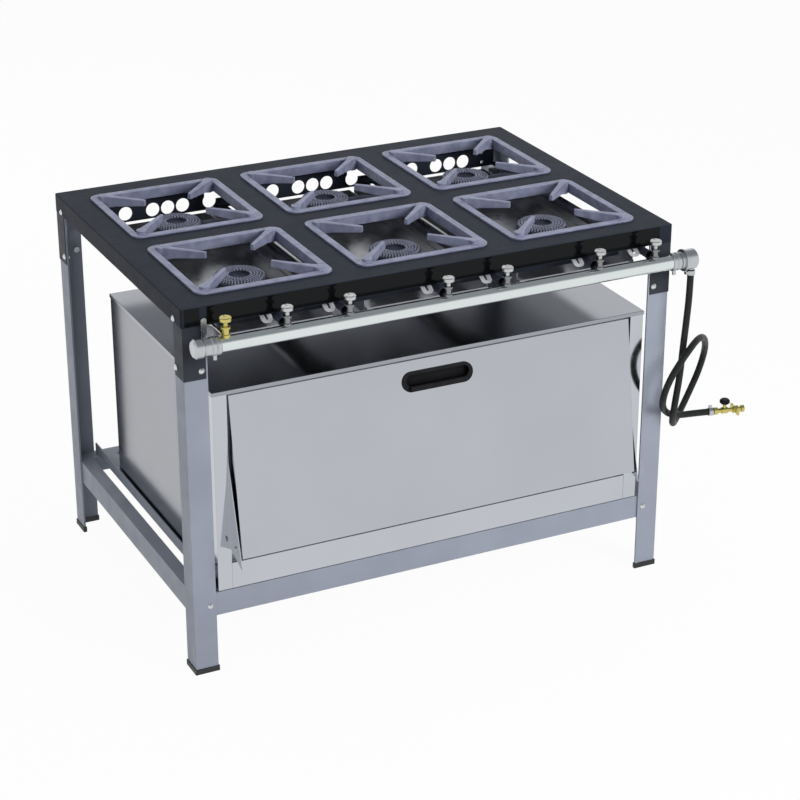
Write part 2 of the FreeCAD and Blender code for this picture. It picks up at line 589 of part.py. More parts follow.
def mixing_tube(body, shift, row, start):
    mouth = f"({FRONT} - mouth_out - {row})"
    seat = f"({PANEL_FRONT} - panel_gauge - {row})"
    drawn = polygon(sketch(body, "XY", "-tube_drop", shift), [
        ("0", start), ("tube_radius", start), ("tube_radius", seat), ("collar_radius", seat),
        ("collar_radius", f"{seat} - collar_length"), ("neck_radius", f"{seat} - collar_length"),
        ("neck_radius", f"{mouth} + mouth_length"), ("mouth_radius", mouth),
        ("mouth_radius - mouth_wall", mouth),
        ("tube_bore", f"{mouth} + mouth_length"), ("tube_bore", f"{mouth} + bore_depth"),
        ("0", f"{mouth} + bore_depth")])
    turn(body, drawn, "V_Axis")
    y, z = f"({mouth} + screw_back)", "(screw_rise - tube_drop)"
    lug = polygon(sketch(body, "YZ", f"{shift} - shutter_side - lug_half"), [
        (f"{y} - lug_half * {ALONG}", f"{z} - lug_half * {RISE}"),
        (f"{y} + lug_half * {ALONG}", f"{z} + lug_half * {RISE}"),
        (f"{y} + lug_half * {ALONG} + lug_gauge * {RISE}", f"{z} + lug_half * {RISE} - lug_gauge * {ALONG}"),
        (f"{y} - lug_half * {ALONG} + lug_gauge * {RISE}", f"{z} - lug_half * {RISE} - lug_gauge * {ALONG}")])
    pad(body, lug, "shutter_side + lug_half")
    grip = "(shutter_gauge + 2 * ledge_gap)"
    for over, radius, height, both in (("0", "stud_radius", f"2 * {grip}", True),
                                       (grip, "head_radius", "head_height", False)):
        drawn = tilt(sketch(body, "XY", f"{z} + {over} * {ALONG}", shift), Vector(1, 0, 0), "shutter_lean")
        drawn.setExpression("AttachmentOffset.Base.y", bound(f"{y} - {over} * {RISE}"))
        pad(body, circle(drawn, "-shutter_side", "0", radius), height, both=both)


front_burners = []
back_burners = []
for column_name, column in COLUMNS.items():
    body = new_body(f"front_burner_{column_name}", listed=False)
    burner_head(body)
    mixing_tube(body, "0", ROWS["front"], "-tube_start")
    place(body, column, ROWS["front"], TOP)
    front_burners.append(body)
    body = new_body(f"back_burner_{column_name}", listed=False)
    burner_head(body)
    bend = sketch(body, "XY", "-tube_drop")
    elbow = value("tube_bend")
    side = value(BACK_TUBE)
    bend.addGeometry(Part.LineSegment(spot("tube_start", "0", "0"), Vector(side - elbow, 0, 0)), False)
    arc = Part.Circle(Vector(side - elbow, -elbow, 0), Vector(0, 0, 1), elbow)
    bend.addGeometry(Part.ArcOfCircle(arc, 0, math.pi / 2), False)
    bend.addConstraint(Sketcher.Constraint("Tangent", 0, 2, 1, 2))
    pin_point(bend, 0, 1, "tube_start", "0")
    pin_point(bend, 1, 3, f"{BACK_TUBE} - tube_bend", "-tube_bend")
    pin_point(bend, 1, 1, BACK_TUBE, "-tube_bend")
    rim = circle(sketch(body, "YZ", "tube_start"), "0", "-tube_drop", "tube_radius + elbow_swell")
    swept = body.newObject("PartDesign::AdditivePipe", body.Name + "_elbow")
    swept.Profile = rim
    swept.Spine = (bend, ["Edge1", "Edge2"])
    mixing_tube(body, BACK_TUBE, ROWS["back"], "-tube_bend + tube_overlap")
    prop = rounded(sketch(body, "XY", "-web_top"), "tray_width / 2 + slide_gap + ledge_gauge / 2",
                   "-prop_forward", "prop_width", "prop_depth", "prop_round")
    pad(body, prop, "web_top - tube_drop")
    place(body, column, ROWS["back"], TOP)
    back_burners.append(body)
group("front_burners", front_burners)
group("back_burners", back_burners)

# Drip trays and the ledges they slide on
ledges = []
for column_name, column in COLUMNS.items():
    tray = new_body(f"drip_tray_{column_name}")
    low = f"{TOP} - tray_drop"
    outline = pad(tray, box(sketch(tray, "XY", low), f"{column} - tray_width / 2", f"{FRONT} + tray_front",
                            f"{column} + tray_width / 2", f"{BACK} - tray_back"), "tray_wall")
    round_edges(tray, outline, "3 * tray_gauge", lambda edge: runs_along(edge, "z"))
    hollow = box(sketch(tray, "XY", f"{low} + tray_wall"), f"{column} - tray_width / 2 + tray_gauge",
                 f"{FRONT} + tray_front + tray_gauge", f"{column} + tray_width / 2 - tray_gauge",
                 f"{BACK} - tray_back - tray_gauge")
    pocket(tray, hollow, "tray_wall - tray_gauge")
    for side, x_sign in (("left", -1), ("right", 1)):
        ledge = new_body(f"tray_ledge_{column_name}_{side}", listed=False)
        face = f"{column} + {x_sign} * (tray_width / 2 + slide_gap)"
        seat = f"{TOP} - tray_drop - ledge_gap"
        drawn = polygon(sketch(ledge, "XZ", PANEL_BACK), [
            (face, f"{TOP} - web_top"), (f"{face} + {x_sign} * ledge_gauge", f"{TOP} - web_top"),
            (f"{face} + {x_sign} * ledge_gauge", f"{seat} - ledge_gauge"),
            (f"{face} - {x_sign} * ledge_width", f"{seat} - ledge_gauge"),
            (f"{face} - {x_sign} * ledge_width", seat), (face, seat)])
        pad(ledge, drawn, f"{PANEL_BACK} - {PANEL_FRONT}")
        ledges.append(ledge)
group("tray_runners", ledges)

# Gas manifold across the front
pipe = new_body("manifold_pipe")
drawn = circle(sketch(pipe, "YZ", "-pipe_left"), PIPE_Y, PIPE_Z, "pipe_radius")
circle(drawn, PIPE_Y, PIPE_Z, "pipe_radius - pipe_wall")
pad(pipe, drawn, "pipe_left + pipe_right")

end_cap = new_body("manifold_end_cap", listed=False)
cap_end = f"(cap_inset - {SIDE})"
drawn = polygon(sketch(end_cap, "XZ"), [
    (cap_end, "0"), (cap_end, "cap_radius - cap_bevel"), (f"{cap_end} + cap_bevel", "cap_radius"),
    (f"{cap_end} + cap_length", "cap_radius"), (f"{cap_end} + cap_length", "pipe_radius + fit_gap"),
    ("-pipe_left", "pipe_radius + fit_gap"), ("-pipe_left", "0")])
turn(end_cap, drawn, "H_Axis")
place(end_cap, "0", PIPE_Y, PIPE_Z)
sleeve = new_body("manifold_sleeve", listed=False)
drawn = sketch(sleeve, "YZ", "-sleeve_left - sleeve_length / 2")
circle(drawn, "0", "0", "pipe_radius + sleeve_wall")
circle(drawn, "0", "0", "pipe_radius + fit_gap")
pad(sleeve, drawn, "sleeve_length")
place(sleeve, "0", PIPE_Y, PIPE_Z)
fittings = [end_cap, sleeve]

# Clamps that tie the pipe to the frame: a strap up the skirt on the left, down the leg on the right
STRAPS = {
    "left": ("-clamp_left", "-strap_shift", "pipe_out", "(pipe_drop - strap_top)"),
    "right": ("clamp_right", "0", "(pipe_out + sheet_gauge)", "(-strap_low)"),
}
for name, (middle, shift, wall, tip) in STRAPS.items():
    clamp = new_body(f"manifold_clamp_{name}", listed=False)
    low, high = f"{middle} - clamp_width / 2", f"{middle} + clamp_width / 2"
    inner, deep = "pipe_radius + fit_gap", "clamp_radius - clamp_groove"
    ring = polygon(sketch(clamp, "XZ"), [
        (low, inner), (low, deep), (f"{low} + clamp_groove", "clamp_radius"),
        (f"{middle} - clamp_groove", "clamp_radius"), (middle, deep),
        (f"{middle} + clamp_groove", "clamp_radius"),
        (f"{high} - clamp_groove", "clamp_radius"), (high, deep), (high, inner)])
    turn(clamp, ring, "H_Axis")
    away = "strap_gauge" if name == "left" else "-strap_gauge"
    strap = polygon(sketch(clamp, "YZ", f"{middle} + {shift} - strap_width / 2"), [
        ("clamp_radius - clamp_sink", "-strap_step"), (wall, "-strap_step"), (wall, tip),
        (f"{wall} - strap_gauge", tip), (f"{wall} - strap_gauge", f"-strap_step + {away}"),
        ("clamp_radius - clamp_sink", f"-strap_step + {away}")])
    pad(clamp, strap, "strap_width")
    screw = circle(sketch(clamp, "XY", "-clamp_radius - screw_drop"), middle, "0", "screw_radius")
    held = pad(clamp, screw, "screw_drop + clamp_sink")
    end_height = value(tip)
    round_edges(clamp, held, f"strap_width * {ROUND_SHARE}", lambda edge: runs_along(edge, "y")
                and abs(edge.CenterOfMass.z - end_height) < 1)
    place(clamp, "0", PIPE_Y, PIPE_Z)
    fittings.append(clamp)
group("manifold_fittings", fittings)


# Taps: saddle on the pipe, spindle on top and a nozzle towards the burner tube
def tap(label, x, radius, reach, listed=False):
    body = new_body(label, listed=listed)
    waist, brim = f"{radius} - tap_waist", f"{radius} + tap_step"
    drawn = polygon(sketch(body, "XZ"), [
        ("0", "pipe_radius / 2"), (radius, "pipe_radius / 2"), (radius, "pipe_radius + tap_shoulder"),
        (waist, "pipe_radius + tap_shoulder + tap_step"), (waist, "tap_rise - tap_collar - tap_step"),
        (brim, "tap_rise - tap_collar"), (brim, "tap_rise"), ("spindle_radius", "tap_rise"),
        ("spindle_radius", "tap_rise + spindle_length"), ("0", "tap_rise + spindle_length")])
    turn(body, drawn, "V_Axis")
    level = "(pipe_drop - tube_drop)"
    pad(body, circle(sketch(body, "XZ", reach), "0", level, "nozzle_radius"), reach)
    saddle = circle(sketch(body, "YZ"), "0", "0", "pipe_radius")
    pocket(body, saddle, f"4 * {radius}", both=True)
    place(body, x, PIPE_Y, PIPE_Z)
    return body


def tap_knob(label, x):
    body = new_body(label)
    bore, top = "spindle_radius + pivot_gap", "spindle_length + spindle_gap"
    drawn = polygon(sketch(body, "XZ"), [
        (bore, "fit_gap"), ("knob_hub", "fit_gap"), ("knob_hub", "knob_neck"),
        ("knob_radius", "knob_neck + knob_flare"), ("knob_radius", "knob_height - knob_edge"),
        ("knob_radius - knob_edge", "knob_height"), ("0", "knob_height"), ("0", top), (bore, top)])
    turn(body, drawn, "V_Axis")
    grip = box(sketch(body, "XY", "knob_height"), "-grip_width / 2", "0", "grip_width / 2", "2 * knob_radius")
    pocket(body, grip, "grip_depth")
    place(body, x, PIPE_Y, f"{PIPE_Z} + tap_rise")


taps = []
TAPS = {}
for column_name, column in COLUMNS.items():
    TAPS[f"front_{column_name}"] = column
    TAPS[f"back_{column_name}"] = f"({column} + {BACK_TUBE})"
for name, x in TAPS.items():
    taps.append(tap(f"tap_body_{name}", x, "tap_radius", "(pipe_out - mouth_out + nozzle_in)"))
    tap_knob(f"tap_knob_{name}", x)
group("tap_bodies", taps)
tap("oven_tap_body", "-oven_tap_side", "(tap_radius + tap_step)", "oven_tap_reach", listed=True)
tap_knob("oven_tap_knob", "-oven_tap_side")

# Air shutters: sloping slotted tongues that slide on the lugs of the mixing tubes
for name, x in TAPS.items():
    shutter = new_body(f"air_shutter_{name}")
    half = "(shutter_width / 2)"
    drawn = box(sketch(shutter, "XY"), f"-{half}", "-shutter_front", half, "shutter_back")
    plain = pad(shutter, drawn, "shutter_gauge")
    round_edges(shutter, plain, "shutter_round",
                lambda edge: runs_along(edge, "z") and edge.BoundBox.YMax < 0)
    slot_wide = "(2 * (stud_radius + slot_play))"
    slot_long = f"(shutter_travel + {slot_wide})"
    slide = rounded(sketch(shutter, "XY"), "0", "-shutter_travel / 2", slot_wide, slot_long,
                    f"{slot_wide} * {ROUND_SHARE}")
    pocket(shutter, slide, "3 * shutter_gauge", both=True)
    place(shutter, f"{x} - shutter_side", f"{FRONT} - mouth_out + screw_back - ledge_gap * {RISE}",
          f"{TOP} - tube_drop + screw_rise + ledge_gap * {ALONG}", Vector(1, 0, 0), "shutter_lean")

# Oven case: lid, shell, front frame with cheeks
lid = new_body("oven_lid")
lid_half = f"({OVEN_HALF} + oven_gauge)"
lid_back = f"({OVEN_FRONT} + oven_depth + oven_gauge)"
crown = pad(lid, box(sketch(lid, "XY", "oven_top - lid_lip"), f"-{lid_half}", f"{OVEN_FRONT} - oven_gauge",
                     lid_half, lid_back), "lid_lip")
round_edges(lid, crown, "lid_round", lambda edge: edge.BoundBox.ZMin > value("oven_top") - TINY)
pocket(lid, box(sketch(lid, "XY", "oven_top - lid_lip"), f"-{OVEN_HALF}", OVEN_FRONT, OVEN_HALF,
                f"{lid_back} - oven_gauge"), "lid_lip - oven_gauge", reverse=True)

shell = new_body("oven_shell")
shell_front = f"({OVEN_FRONT} + front_depth)"
shell_back = f"({OVEN_FRONT} + oven_depth)"
pad(shell, box(sketch(shell, "XY", OVEN_LOW), f"-{OVEN_HALF}", shell_front, OVEN_HALF, shell_back),
    f"oven_top - oven_gauge - {OVEN_LOW}")
hollow = box(sketch(shell, "XY", "oven_top - oven_gauge"), f"-{OVEN_HALF} + oven_gauge", OVEN_FRONT,
             f"{OVEN_HALF} - oven_gauge", f"{shell_back} - oven_gauge")
pocket(shell, hollow, f"oven_top - 2 * oven_gauge - {OVEN_LOW}")
FEED_Y = f"({FRONT} + feed_back)"
feed_hole = sketch(shell, "YZ", f"-{OVEN_HALF}")
circle(feed_hole, FEED_Y, "oven_burner_height", "feed_radius + fit_gap")
pocket(shell, feed_hole, "4 * oven_gauge", both=True)

front = new_body("oven_front_frame")
sill = f"({OVEN_LOW} + sill_height)"
post = f"({OVEN_HALF} - post_width)"
rise = "(oven_top - oven_gauge)"
drawn = polygon(sketch(front, "XZ", shell_front), [
    (f"-{OVEN_HALF}", OVEN_LOW), (OVEN_HALF, OVEN_LOW), (OVEN_HALF, rise), (post, rise), (post, sill),
    (f"-{post}", sill), (f"-{post}", rise), (f"-{OVEN_HALF}", rise)])
pad(front, drawn, "front_depth")
inset = "oven_gauge"
drawn = polygon(sketch(front, "XZ", shell_front), [
    (f"-{OVEN_HALF} + {inset}", f"{OVEN_LOW} + {inset}"), (f"{OVEN_HALF} - {inset}", f"{OVEN_LOW} + {inset}"),
    (f"{OVEN_HALF} - {inset}", f"{rise} - {inset}"), (f"{post} + {inset}", f"{rise} - {inset}"),
    (f"{post} + {inset}", f"{sill} - {inset}"), (f"-{post} - {inset}", f"{sill} - {inset}"),
    (f"-{post} - {inset}", f"{rise} - {inset}"), (f"-{OVEN_HALF} + {inset}", f"{rise} - {inset}")])
pocket(front, drawn, "front_depth - oven_gauge", reverse=True)
for x_sign in (-1, 1):
    inner = f"({x_sign} * {post})"
    away = x_sign < 0
    seam = box(sketch(front, "XZ", OVEN_FRONT), f"{inner} - seam_width / 2", f"{OVEN_LOW} - seam_width",
               f"{inner} + seam_width / 2", f"{sill} + seam_width")
    pocket(front, seam, "2 * seam_depth", both=True)
    cheek = polygon(sketch(front, "YZ", inner), [
        (f"{OVEN_FRONT} + cheek_sink", "cheek_top"), (f"{OVEN_FRONT} - cheek_out", "cheek_low"),
        (f"{OVEN_FRONT} + cheek_sink", "cheek_heel")])
    pad(front, cheek, "oven_gauge", reverse=away)
    core = f"{inner} + {x_sign} * oven_gauge / 2"
    pin = circle(sketch(front, "YZ", core), PIVOT_Y, PIVOT_Z, "pivot_radius")
    pad(front, pin, f"{post} - door_width / 2 + pivot_reach", reverse=not away)
    rivet = circle(sketch(front, "YZ", core), PIVOT_Y, PIVOT_Z, "rivet_radius")
    pad(front, rivet, "oven_gauge / 2 + rivet_head", reverse=away)

# Oven inside: liner, floor plate, burner and rack
liner = new_body("oven_liner")
out = "(liner_half + liner_gauge)"
drawn = box(sketch(liner, "XZ", f"{OVEN_FRONT} + liner_back"), f"-{out}", "liner_low - liner_gauge", out,
            "liner_top + liner_gauge")
pad(liner, drawn, "liner_back - front_depth")
flange = box(sketch(liner, "XZ", f"{shell_front} + liner_gauge"), f"-{OVEN_HALF} + 2 * oven_gauge",
             f"{OVEN_LOW} + 2 * oven_gauge", f"{OVEN_HALF} - 2 * oven_gauge", f"{rise} - oven_gauge")
pad(liner, flange, "liner_gauge")
cavity = box(sketch(liner, "XZ", shell_front), "-liner_half", "liner_low", "liner_half", "liner_top")
pocket(liner, cavity, "liner_back - front_depth - liner_gauge")
vent = box(sketch(liner, "XY", "liner_low"), "-vent_half", f"{OVEN_FRONT} + vent_front", "vent_half",
           f"{OVEN_FRONT} + vent_back")
pocket(liner, vent, "4 * liner_gauge")
for x_sign in (-1, 1):
    rib = sketch(liner, "YZ", f"{x_sign} * (liner_half + liner_gauge / 2)")
    box(rib, f"{shell_front} + shelf_inset", "shelf_height - shelf_gauge",
        f"{OVEN_FRONT} + liner_back - shelf_inset", "shelf_height")
    pad(liner, rib, "shelf_width + liner_gauge / 2", reverse=x_sign > 0)

floor = new_body("oven_floor_plate")
floor_front, floor_back = f"({shell_front} + shelf_inset)", f"({OVEN_FRONT} + liner_back - floor_end)"
outline = box(sketch(floor, "XY", "liner_low"), "-floor_half", floor_front, "floor_half", floor_back)
pad(floor, outline, "floor_rise")
hollow = box(sketch(floor, "XY", "liner_low"), "-floor_half + oven_gauge", f"{floor_front} + oven_gauge",
             "floor_half - oven_gauge", f"{floor_back} - oven_gauge")
pocket(floor, hollow, "floor_rise - oven_gauge", reverse=True)

oven_burner = new_body("oven_burner")
bend = sketch(oven_burner, "XY", "oven_burner_height")
burner_end, burner_far = f"-{OVEN_HALF} + oven_burner_wall", f"{OVEN_FRONT} + oven_burner_reach"
left, y, elbow, far = value(burner_end), value(FEED_Y), value("oven_burner_bend"), value(burner_far)
bend.addGeometry(Part.LineSegment(Vector(left, y, 0), Vector(-elbow, y, 0)), False)
bend.addGeometry(Part.ArcOfCircle(Part.Circle(Vector(-elbow, y + elbow, 0), Vector(0, 0, 1), elbow),
                                  -math.pi / 2, 0), False)
bend.addGeometry(Part.LineSegment(Vector(0, y + elbow, 0), Vector(0, far, 0)), False)
bend.addConstraint(Sketcher.Constraint("Tangent", 0, 2, 1, 1))
bend.addConstraint(Sketcher.Constraint("Tangent", 1, 2, 2, 1))
pin_point(bend, 0, 1, burner_end, FEED_Y)
pin_point(bend, 1, 3, "-oven_burner_bend", f"{FEED_Y} + oven_burner_bend")
pin_point(bend, 2, 2, "0", burner_far)
rim = circle(sketch(oven_burner, "YZ", burner_end), FEED_Y, "oven_burner_height", "oven_burner_radius")
swept = oven_burner.newObject("PartDesign::AdditivePipe", "oven_burner_tube")
swept.Profile = rim
swept.Spine = (bend, ["Edge1", "Edge2", "Edge3"])
for x, y in (("-stand_side", FEED_Y), ("0", f"{OVEN_FRONT} + stand_back")):
    stand = rounded(sketch(oven_burner, "XY", f"{OVEN_LOW} + oven_gauge"), x, y, "stand_width", "stand_depth",
                    "stand_round")
    pad(oven_burner, stand, f"oven_burner_height - {OVEN_LOW} - oven_gauge")

rack = new_body("oven_rack")
rack_half = "(liner_half - rack_gap)"
rack_front, rack_back = f"({shell_front} + rack_near)", f"({OVEN_FRONT} + liner_back - rack_far)"
level = "shelf_height + rack_rod"
for y in (rack_front, f"(({rack_front} + {rack_back}) / 2)", rack_back):
    pad(rack, circle(sketch(rack, "YZ"), y, level, "rack_rod"), f"2 * {rack_half}", both=True)
bars = value("rack_bars")
for number in range(int(bars)):
    x = f"({rack_half} - bar_inset) * {2 * number / (bars - 1) - 1:.6f}"
    pad(rack, circle(sketch(rack, "XZ", rack_back), x, f"{level} + rack_rod", "bar_radius"),
        f"{rack_back} - {rack_front}")

# Leaning oven door: pan, inner sheet and oval pull
door = new_body("door_panel")
drawn = polygon(sketch(door, "YZ"), [
    ("0", "0"), ("door_foot", "0"), ("door_depth", "door_heel"), ("door_depth", "door_knee"),
    ("door_head", DOOR_LENGTH), ("0", DOOR_LENGTH)])
pad(door, drawn, "door_width", both=True)
drawn = box(sketch(door, "YZ"), "door_gauge", "door_gauge", "2 * door_depth", f"{DOOR_LENGTH} - door_gauge")
pocket(door, drawn, "door_width - 2 * door_gauge", both=True)
pocket(door, circle(sketch(door, "YZ"), "pivot_depth", "pivot_rise", "pivot_radius + pivot_gap"),
       "2 * door_width", both=True)
hole_wide, hole_high = "(handle_width - 2 * bezel_rim)", "(handle_height - 2 * bezel_rim)"
pull_hole = rounded(sketch(door, "XZ"), "0", "handle_rise", hole_wide, hole_high,
                    f"{hole_high} / 2 - oval_flat")
pocket(door, pull_hole, "4 * door_gauge", both=True)
place(door, "0", DOOR_Y, "door_low", Vector(1, 0, 0), f"-{LEAN}")

backing = new_body("door_liner")
near, far = "(door_depth - door_gauge)", "(door_depth - 2 * door_gauge)"
head_high = f"({DOOR_LENGTH} - door_gauge)"
drawn = polygon(sketch(backing, "YZ"), [
    ("door_foot", "door_gauge"), (near, "door_heel"), (near, "door_knee"),
    ("door_head - door_gauge", head_high), ("door_head - 2 * door_gauge", head_high), (far, "door_knee"), (far, "door_heel + door_gauge / 3"),
    ("door_foot - door_gauge", "door_gauge")])
pad(backing, drawn, "door_width - 2 * door_gauge", both=True)
place(backing, "0", DOOR_Y, "door_low", Vector(1, 0, 0), f"-{LEAN}")

pull = new_body("door_handle")
bezel = rounded(sketch(pull, "XZ"), "0", "handle_rise", "handle_width", "handle_height",
                "handle_height / 2 - oval_flat")
pad(pull, bezel, "bezel_gauge")
cup_deep = "(handle_recess + cup_wall)"
cup = rounded(sketch(pull, "XZ", cup_deep), "0", "handle_rise", f"{hole_wide} - 2 * cup_gap",
              f"{hole_high} - 2 * cup_gap", f"{hole_high} / 2 - cup_gap - oval_flat")
pad(pull, cup, cup_deep)
lip = rounded(sketch(pull, "XZ"), "0", "handle_rise - lip_drop", "lip_width", "lip_height",
              "lip_height / 2 - oval_flat")
pad(pull, lip, "handle_lip")
recess = rounded(sketch(pull, "XZ", "handle_recess"), "0", "handle_rise + recess_rise",
                 "handle_width - 2 * recess_side", "handle_height - 2 * recess_edge",
                 "handle_height / 2 - recess_edge - oval_flat")
pocket(pull, recess, "2 * (handle_recess + handle_lip)", reverse=True)
place(pull, "0", DOOR_Y, "door_low", Vector(1, 0, 0), f"-{LEAN}")

# Feed tube from the oven tap down the leg into the oven case
FEED_X = f"(-{SIDE} + feed_side)"
feed_level = f"({TOP} - tube_drop)"
bent_tube("oven_feed_tube", [
    spot("-oven_tap_side", f"{PIPE_Y} + oven_tap_reach", feed_level),
    spot("-oven_tap_side", FEED_Y, feed_level),
    spot(FEED_X, FEED_Y, feed_level), spot(FEED_X, FEED_Y, "oven_burner_height"),
    spot(burner_end, FEED_Y, "oven_burner_height")], value("feed_radius"))

# Gas inlet elbow on the right end of the manifold
inlet = new_body("inlet_elbow")
drawn = polygon(sketch(inlet, "XZ"), [
    ("pipe_right - elbow_side", "0"), ("pipe_right - elbow_side", "pipe_radius + fit_gap"),
    ("-socket_start", "pipe_radius + fit_gap"), ("-socket_start", "socket_radius"),
    ("-flange_start", "socket_radius"), ("-flange_start", "flange_radius"), ("-drum_start", "flange_radius"),
    ("-drum_start", "elbow_radius"), ("drum_end - drum_bevel", "elbow_radius"),
    ("drum_end", "elbow_radius - drum_bevel"), ("drum_end", "0")])
turn(inlet, drawn, "H_Axis")
pad(inlet, circle(sketch(inlet, "XY", "-elbow_drop"), "0", "0", "outlet_radius"), "elbow_drop")
place(inlet, "elbow_side", PIPE_Y, PIPE_Z)

# Gas hose, its clamps and the supply valve on its end
outlet = spot("elbow_side", PIPE_Y, f"{PIPE_Z} - elbow_drop")
hose_points = [outlet + Vector(*step) for step in HOSE_ROUTE]
bent_tube("gas_hose", hose_points, value("hose_radius"))
ends = [(hose_points[0], hose_points[1]), (hose_points[-1], hose_points[-2])]
bands = []
for number, (end, inward) in enumerate(ends):
    band = new_body(f"hose_clamp_{number + 1}", listed=False)
    drawn = circle(sketch(band, "XY", "band_start"), "0", "0", "hose_radius + band_wall")
    circle(drawn, "0", "0", "hose_radius + fit_gap")
    pad(band, drawn, "band_width")
    ear = box(sketch(band, "XY", "band_start + ear_inset"), "hose_radius + band_wall / 2", "-ear_half",
              "hose_radius + band_wall + ear_out", "ear_half")
    pad(band, ear, "band_width - 2 * ear_inset")
    band.Placement = Placement(end, Rotation(Vector(0, 0, 1), inward - end))
    bands.append(band)
group("hose_clamps", bands)

last_run = ends[1][0] - ends[1][1]
VALVE_TURN = math.degrees(math.atan2(last_run.y, last_run.x))
valve = new_body("supply_valve")
neck_end = "(valve_nut + valve_step + valve_neck)"
barrel_end = f"({neck_end} + valve_step + valve_barrel)"
drawn = polygon(sketch(valve, "XZ"), [
    ("0", "0"), ("0", "valve_radius + nut_lip"), ("valve_nut", "valve_radius + nut_lip"),
    ("valve_nut + valve_step", "valve_radius - neck_depth"), (neck_end, "valve_radius - neck_depth"),
    (f"{neck_end} + valve_step", "valve_radius"), (barrel_end, "valve_radius"),
    (f"{barrel_end} + valve_step", "valve_radius - tail_depth"),
    ("valve_length - valve_seat - valve_step", "valve_radius - tail_depth"),
    ("valve_length - valve_seat", "valve_radius + seat_lip"), ("valve_length", "valve_radius + seat_lip"),
    ("valve_length", "0")])
turn(valve, drawn, "H_Axis")
pad(valve, circle(sketch(valve, "XY"), "stem_at", "0", "stem_radius"), "valve_radius + stem_rise")

valve_knob = new_body("supply_valve_knob")
seat = "(valve_radius + stem_rise)"
drawn = polygon(sketch(valve_knob, "XZ"), [
    ("0", f"{seat} + fit_gap"), ("valve_knob_radius - valve_knob_bevel", f"{seat} + fit_gap"),
    ("valve_knob_radius", f"{seat} + valve_knob_bevel"),
    ("valve_knob_radius", f"{seat} + valve_knob_height - valve_knob_bevel"),
    ("valve_knob_radius - valve_knob_bevel", f"{seat} + valve_knob_height"),
    ("0", f"{seat} + valve_knob_height")])
turn(valve_knob, drawn, "V_Axis")
scallop = circle(sketch(valve_knob, "XY", seat), "valve_knob_radius + scallop_out", "0", "scallop_radius")
around(valve_knob, [pocket(valve_knob, scallop, "2 * valve_knob_height", reverse=True)], "scallops")

wing = new_body("wing_nut")
drawn = circle(sketch(wing, "YZ", "wing_at"), "0", "0", "valve_radius + wing_lip")
circle(drawn, "0", "0", "valve_radius - tail_depth + fit_gap")
pad(wing, drawn, "wing_length")
for y_sign in (-1, 1):
    blade = polygon(sketch(wing, "YZ", "wing_at + blade_inset"), [
        (f"{y_sign} * (valve_radius - blade_sink)", "-blade_root"),
        (f"{y_sign} * wing_span / 2", "-blade_low"),
        (f"{y_sign} * (wing_span / 2 + blade_sweep)", "blade_high"),
        (f"{y_sign} * (valve_radius - blade_sink)", "blade_root")])
    pad(wing, blade, "blade_gauge")
for item in (valve, wing):
    place(item, *[f"{number:.4f}" for number in hose_points[-1]], Vector(0, 0, 1), f"{VALVE_TURN:.4f}")
place(valve_knob, *[f"{number:.4f}" for number in hose_points[-1] + last_run.normalize() * value("stem_at")])

# Check every object, then write one file for each sub-part
doc.recompute()
for item in doc.Objects:
    if "Invalid" in item.State or "Error" in item.State:
        raise RuntimeError(f"{item.Name} failed: {item.State}")
os.makedirs("parts", exist_ok=True)
for item in nodes:
    shape = item.Shape
    if shape.isNull() or not shape.isValid() or not shape.Solids:
        raise RuntimeError(f"{item.Label} has no sound shape")
    shape.exportStep(f"parts/{item.Label}.step")
print(len(nodes), "sub-parts written")
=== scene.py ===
import json
import math

import bpy
import bmesh
from mathutils import Matrix, Vector

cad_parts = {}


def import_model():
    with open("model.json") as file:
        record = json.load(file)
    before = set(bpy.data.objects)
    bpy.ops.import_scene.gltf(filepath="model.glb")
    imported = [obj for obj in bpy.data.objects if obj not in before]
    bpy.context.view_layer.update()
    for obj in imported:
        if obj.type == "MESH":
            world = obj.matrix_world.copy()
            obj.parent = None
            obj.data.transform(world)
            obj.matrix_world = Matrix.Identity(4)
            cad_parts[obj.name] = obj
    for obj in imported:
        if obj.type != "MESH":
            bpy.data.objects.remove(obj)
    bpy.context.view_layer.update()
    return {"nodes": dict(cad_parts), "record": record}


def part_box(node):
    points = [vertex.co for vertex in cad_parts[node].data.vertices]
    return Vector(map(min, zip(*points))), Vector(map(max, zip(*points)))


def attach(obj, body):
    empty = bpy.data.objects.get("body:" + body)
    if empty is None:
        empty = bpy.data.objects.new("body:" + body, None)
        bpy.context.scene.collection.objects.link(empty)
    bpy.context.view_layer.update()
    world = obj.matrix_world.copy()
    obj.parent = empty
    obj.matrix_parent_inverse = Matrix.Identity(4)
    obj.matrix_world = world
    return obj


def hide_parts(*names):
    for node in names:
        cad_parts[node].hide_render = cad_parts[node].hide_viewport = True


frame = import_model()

nodes = frame["nodes"]
WHITE = (1, 1, 1, 1)
COLUMNS = ("left", "middle", "right")
SIDES = {"left": -1, "right": 1}

# Camera at the photograph's viewing angle: place in metres, angles in degrees, lens in millimetres
CAMERA_PLACE = Vector((-1.9780, -4.2233, 2.4736))
CAMERA_YAW = 26.0585
CAMERA_PITCH = 24.1962
CAMERA_LENS = 102.03
CAMERA_SENSOR = 36.0

# Ranges that a noise, a blend of two shades and the turn of an edge are stretched over
NOISE_SPAN = (0.3, 0.7)
SHADE_SPAN = (0.35, 0.65)
EDGE_SPAN = (0.80, 0.97)
EDGE_SAMPLES = 4

# How far around a hollow the painted shade reaches, in metres
HOLLOW_SHADE_REACH = 0.03


def times(values, factor):
    return tuple(value * factor for value in values)


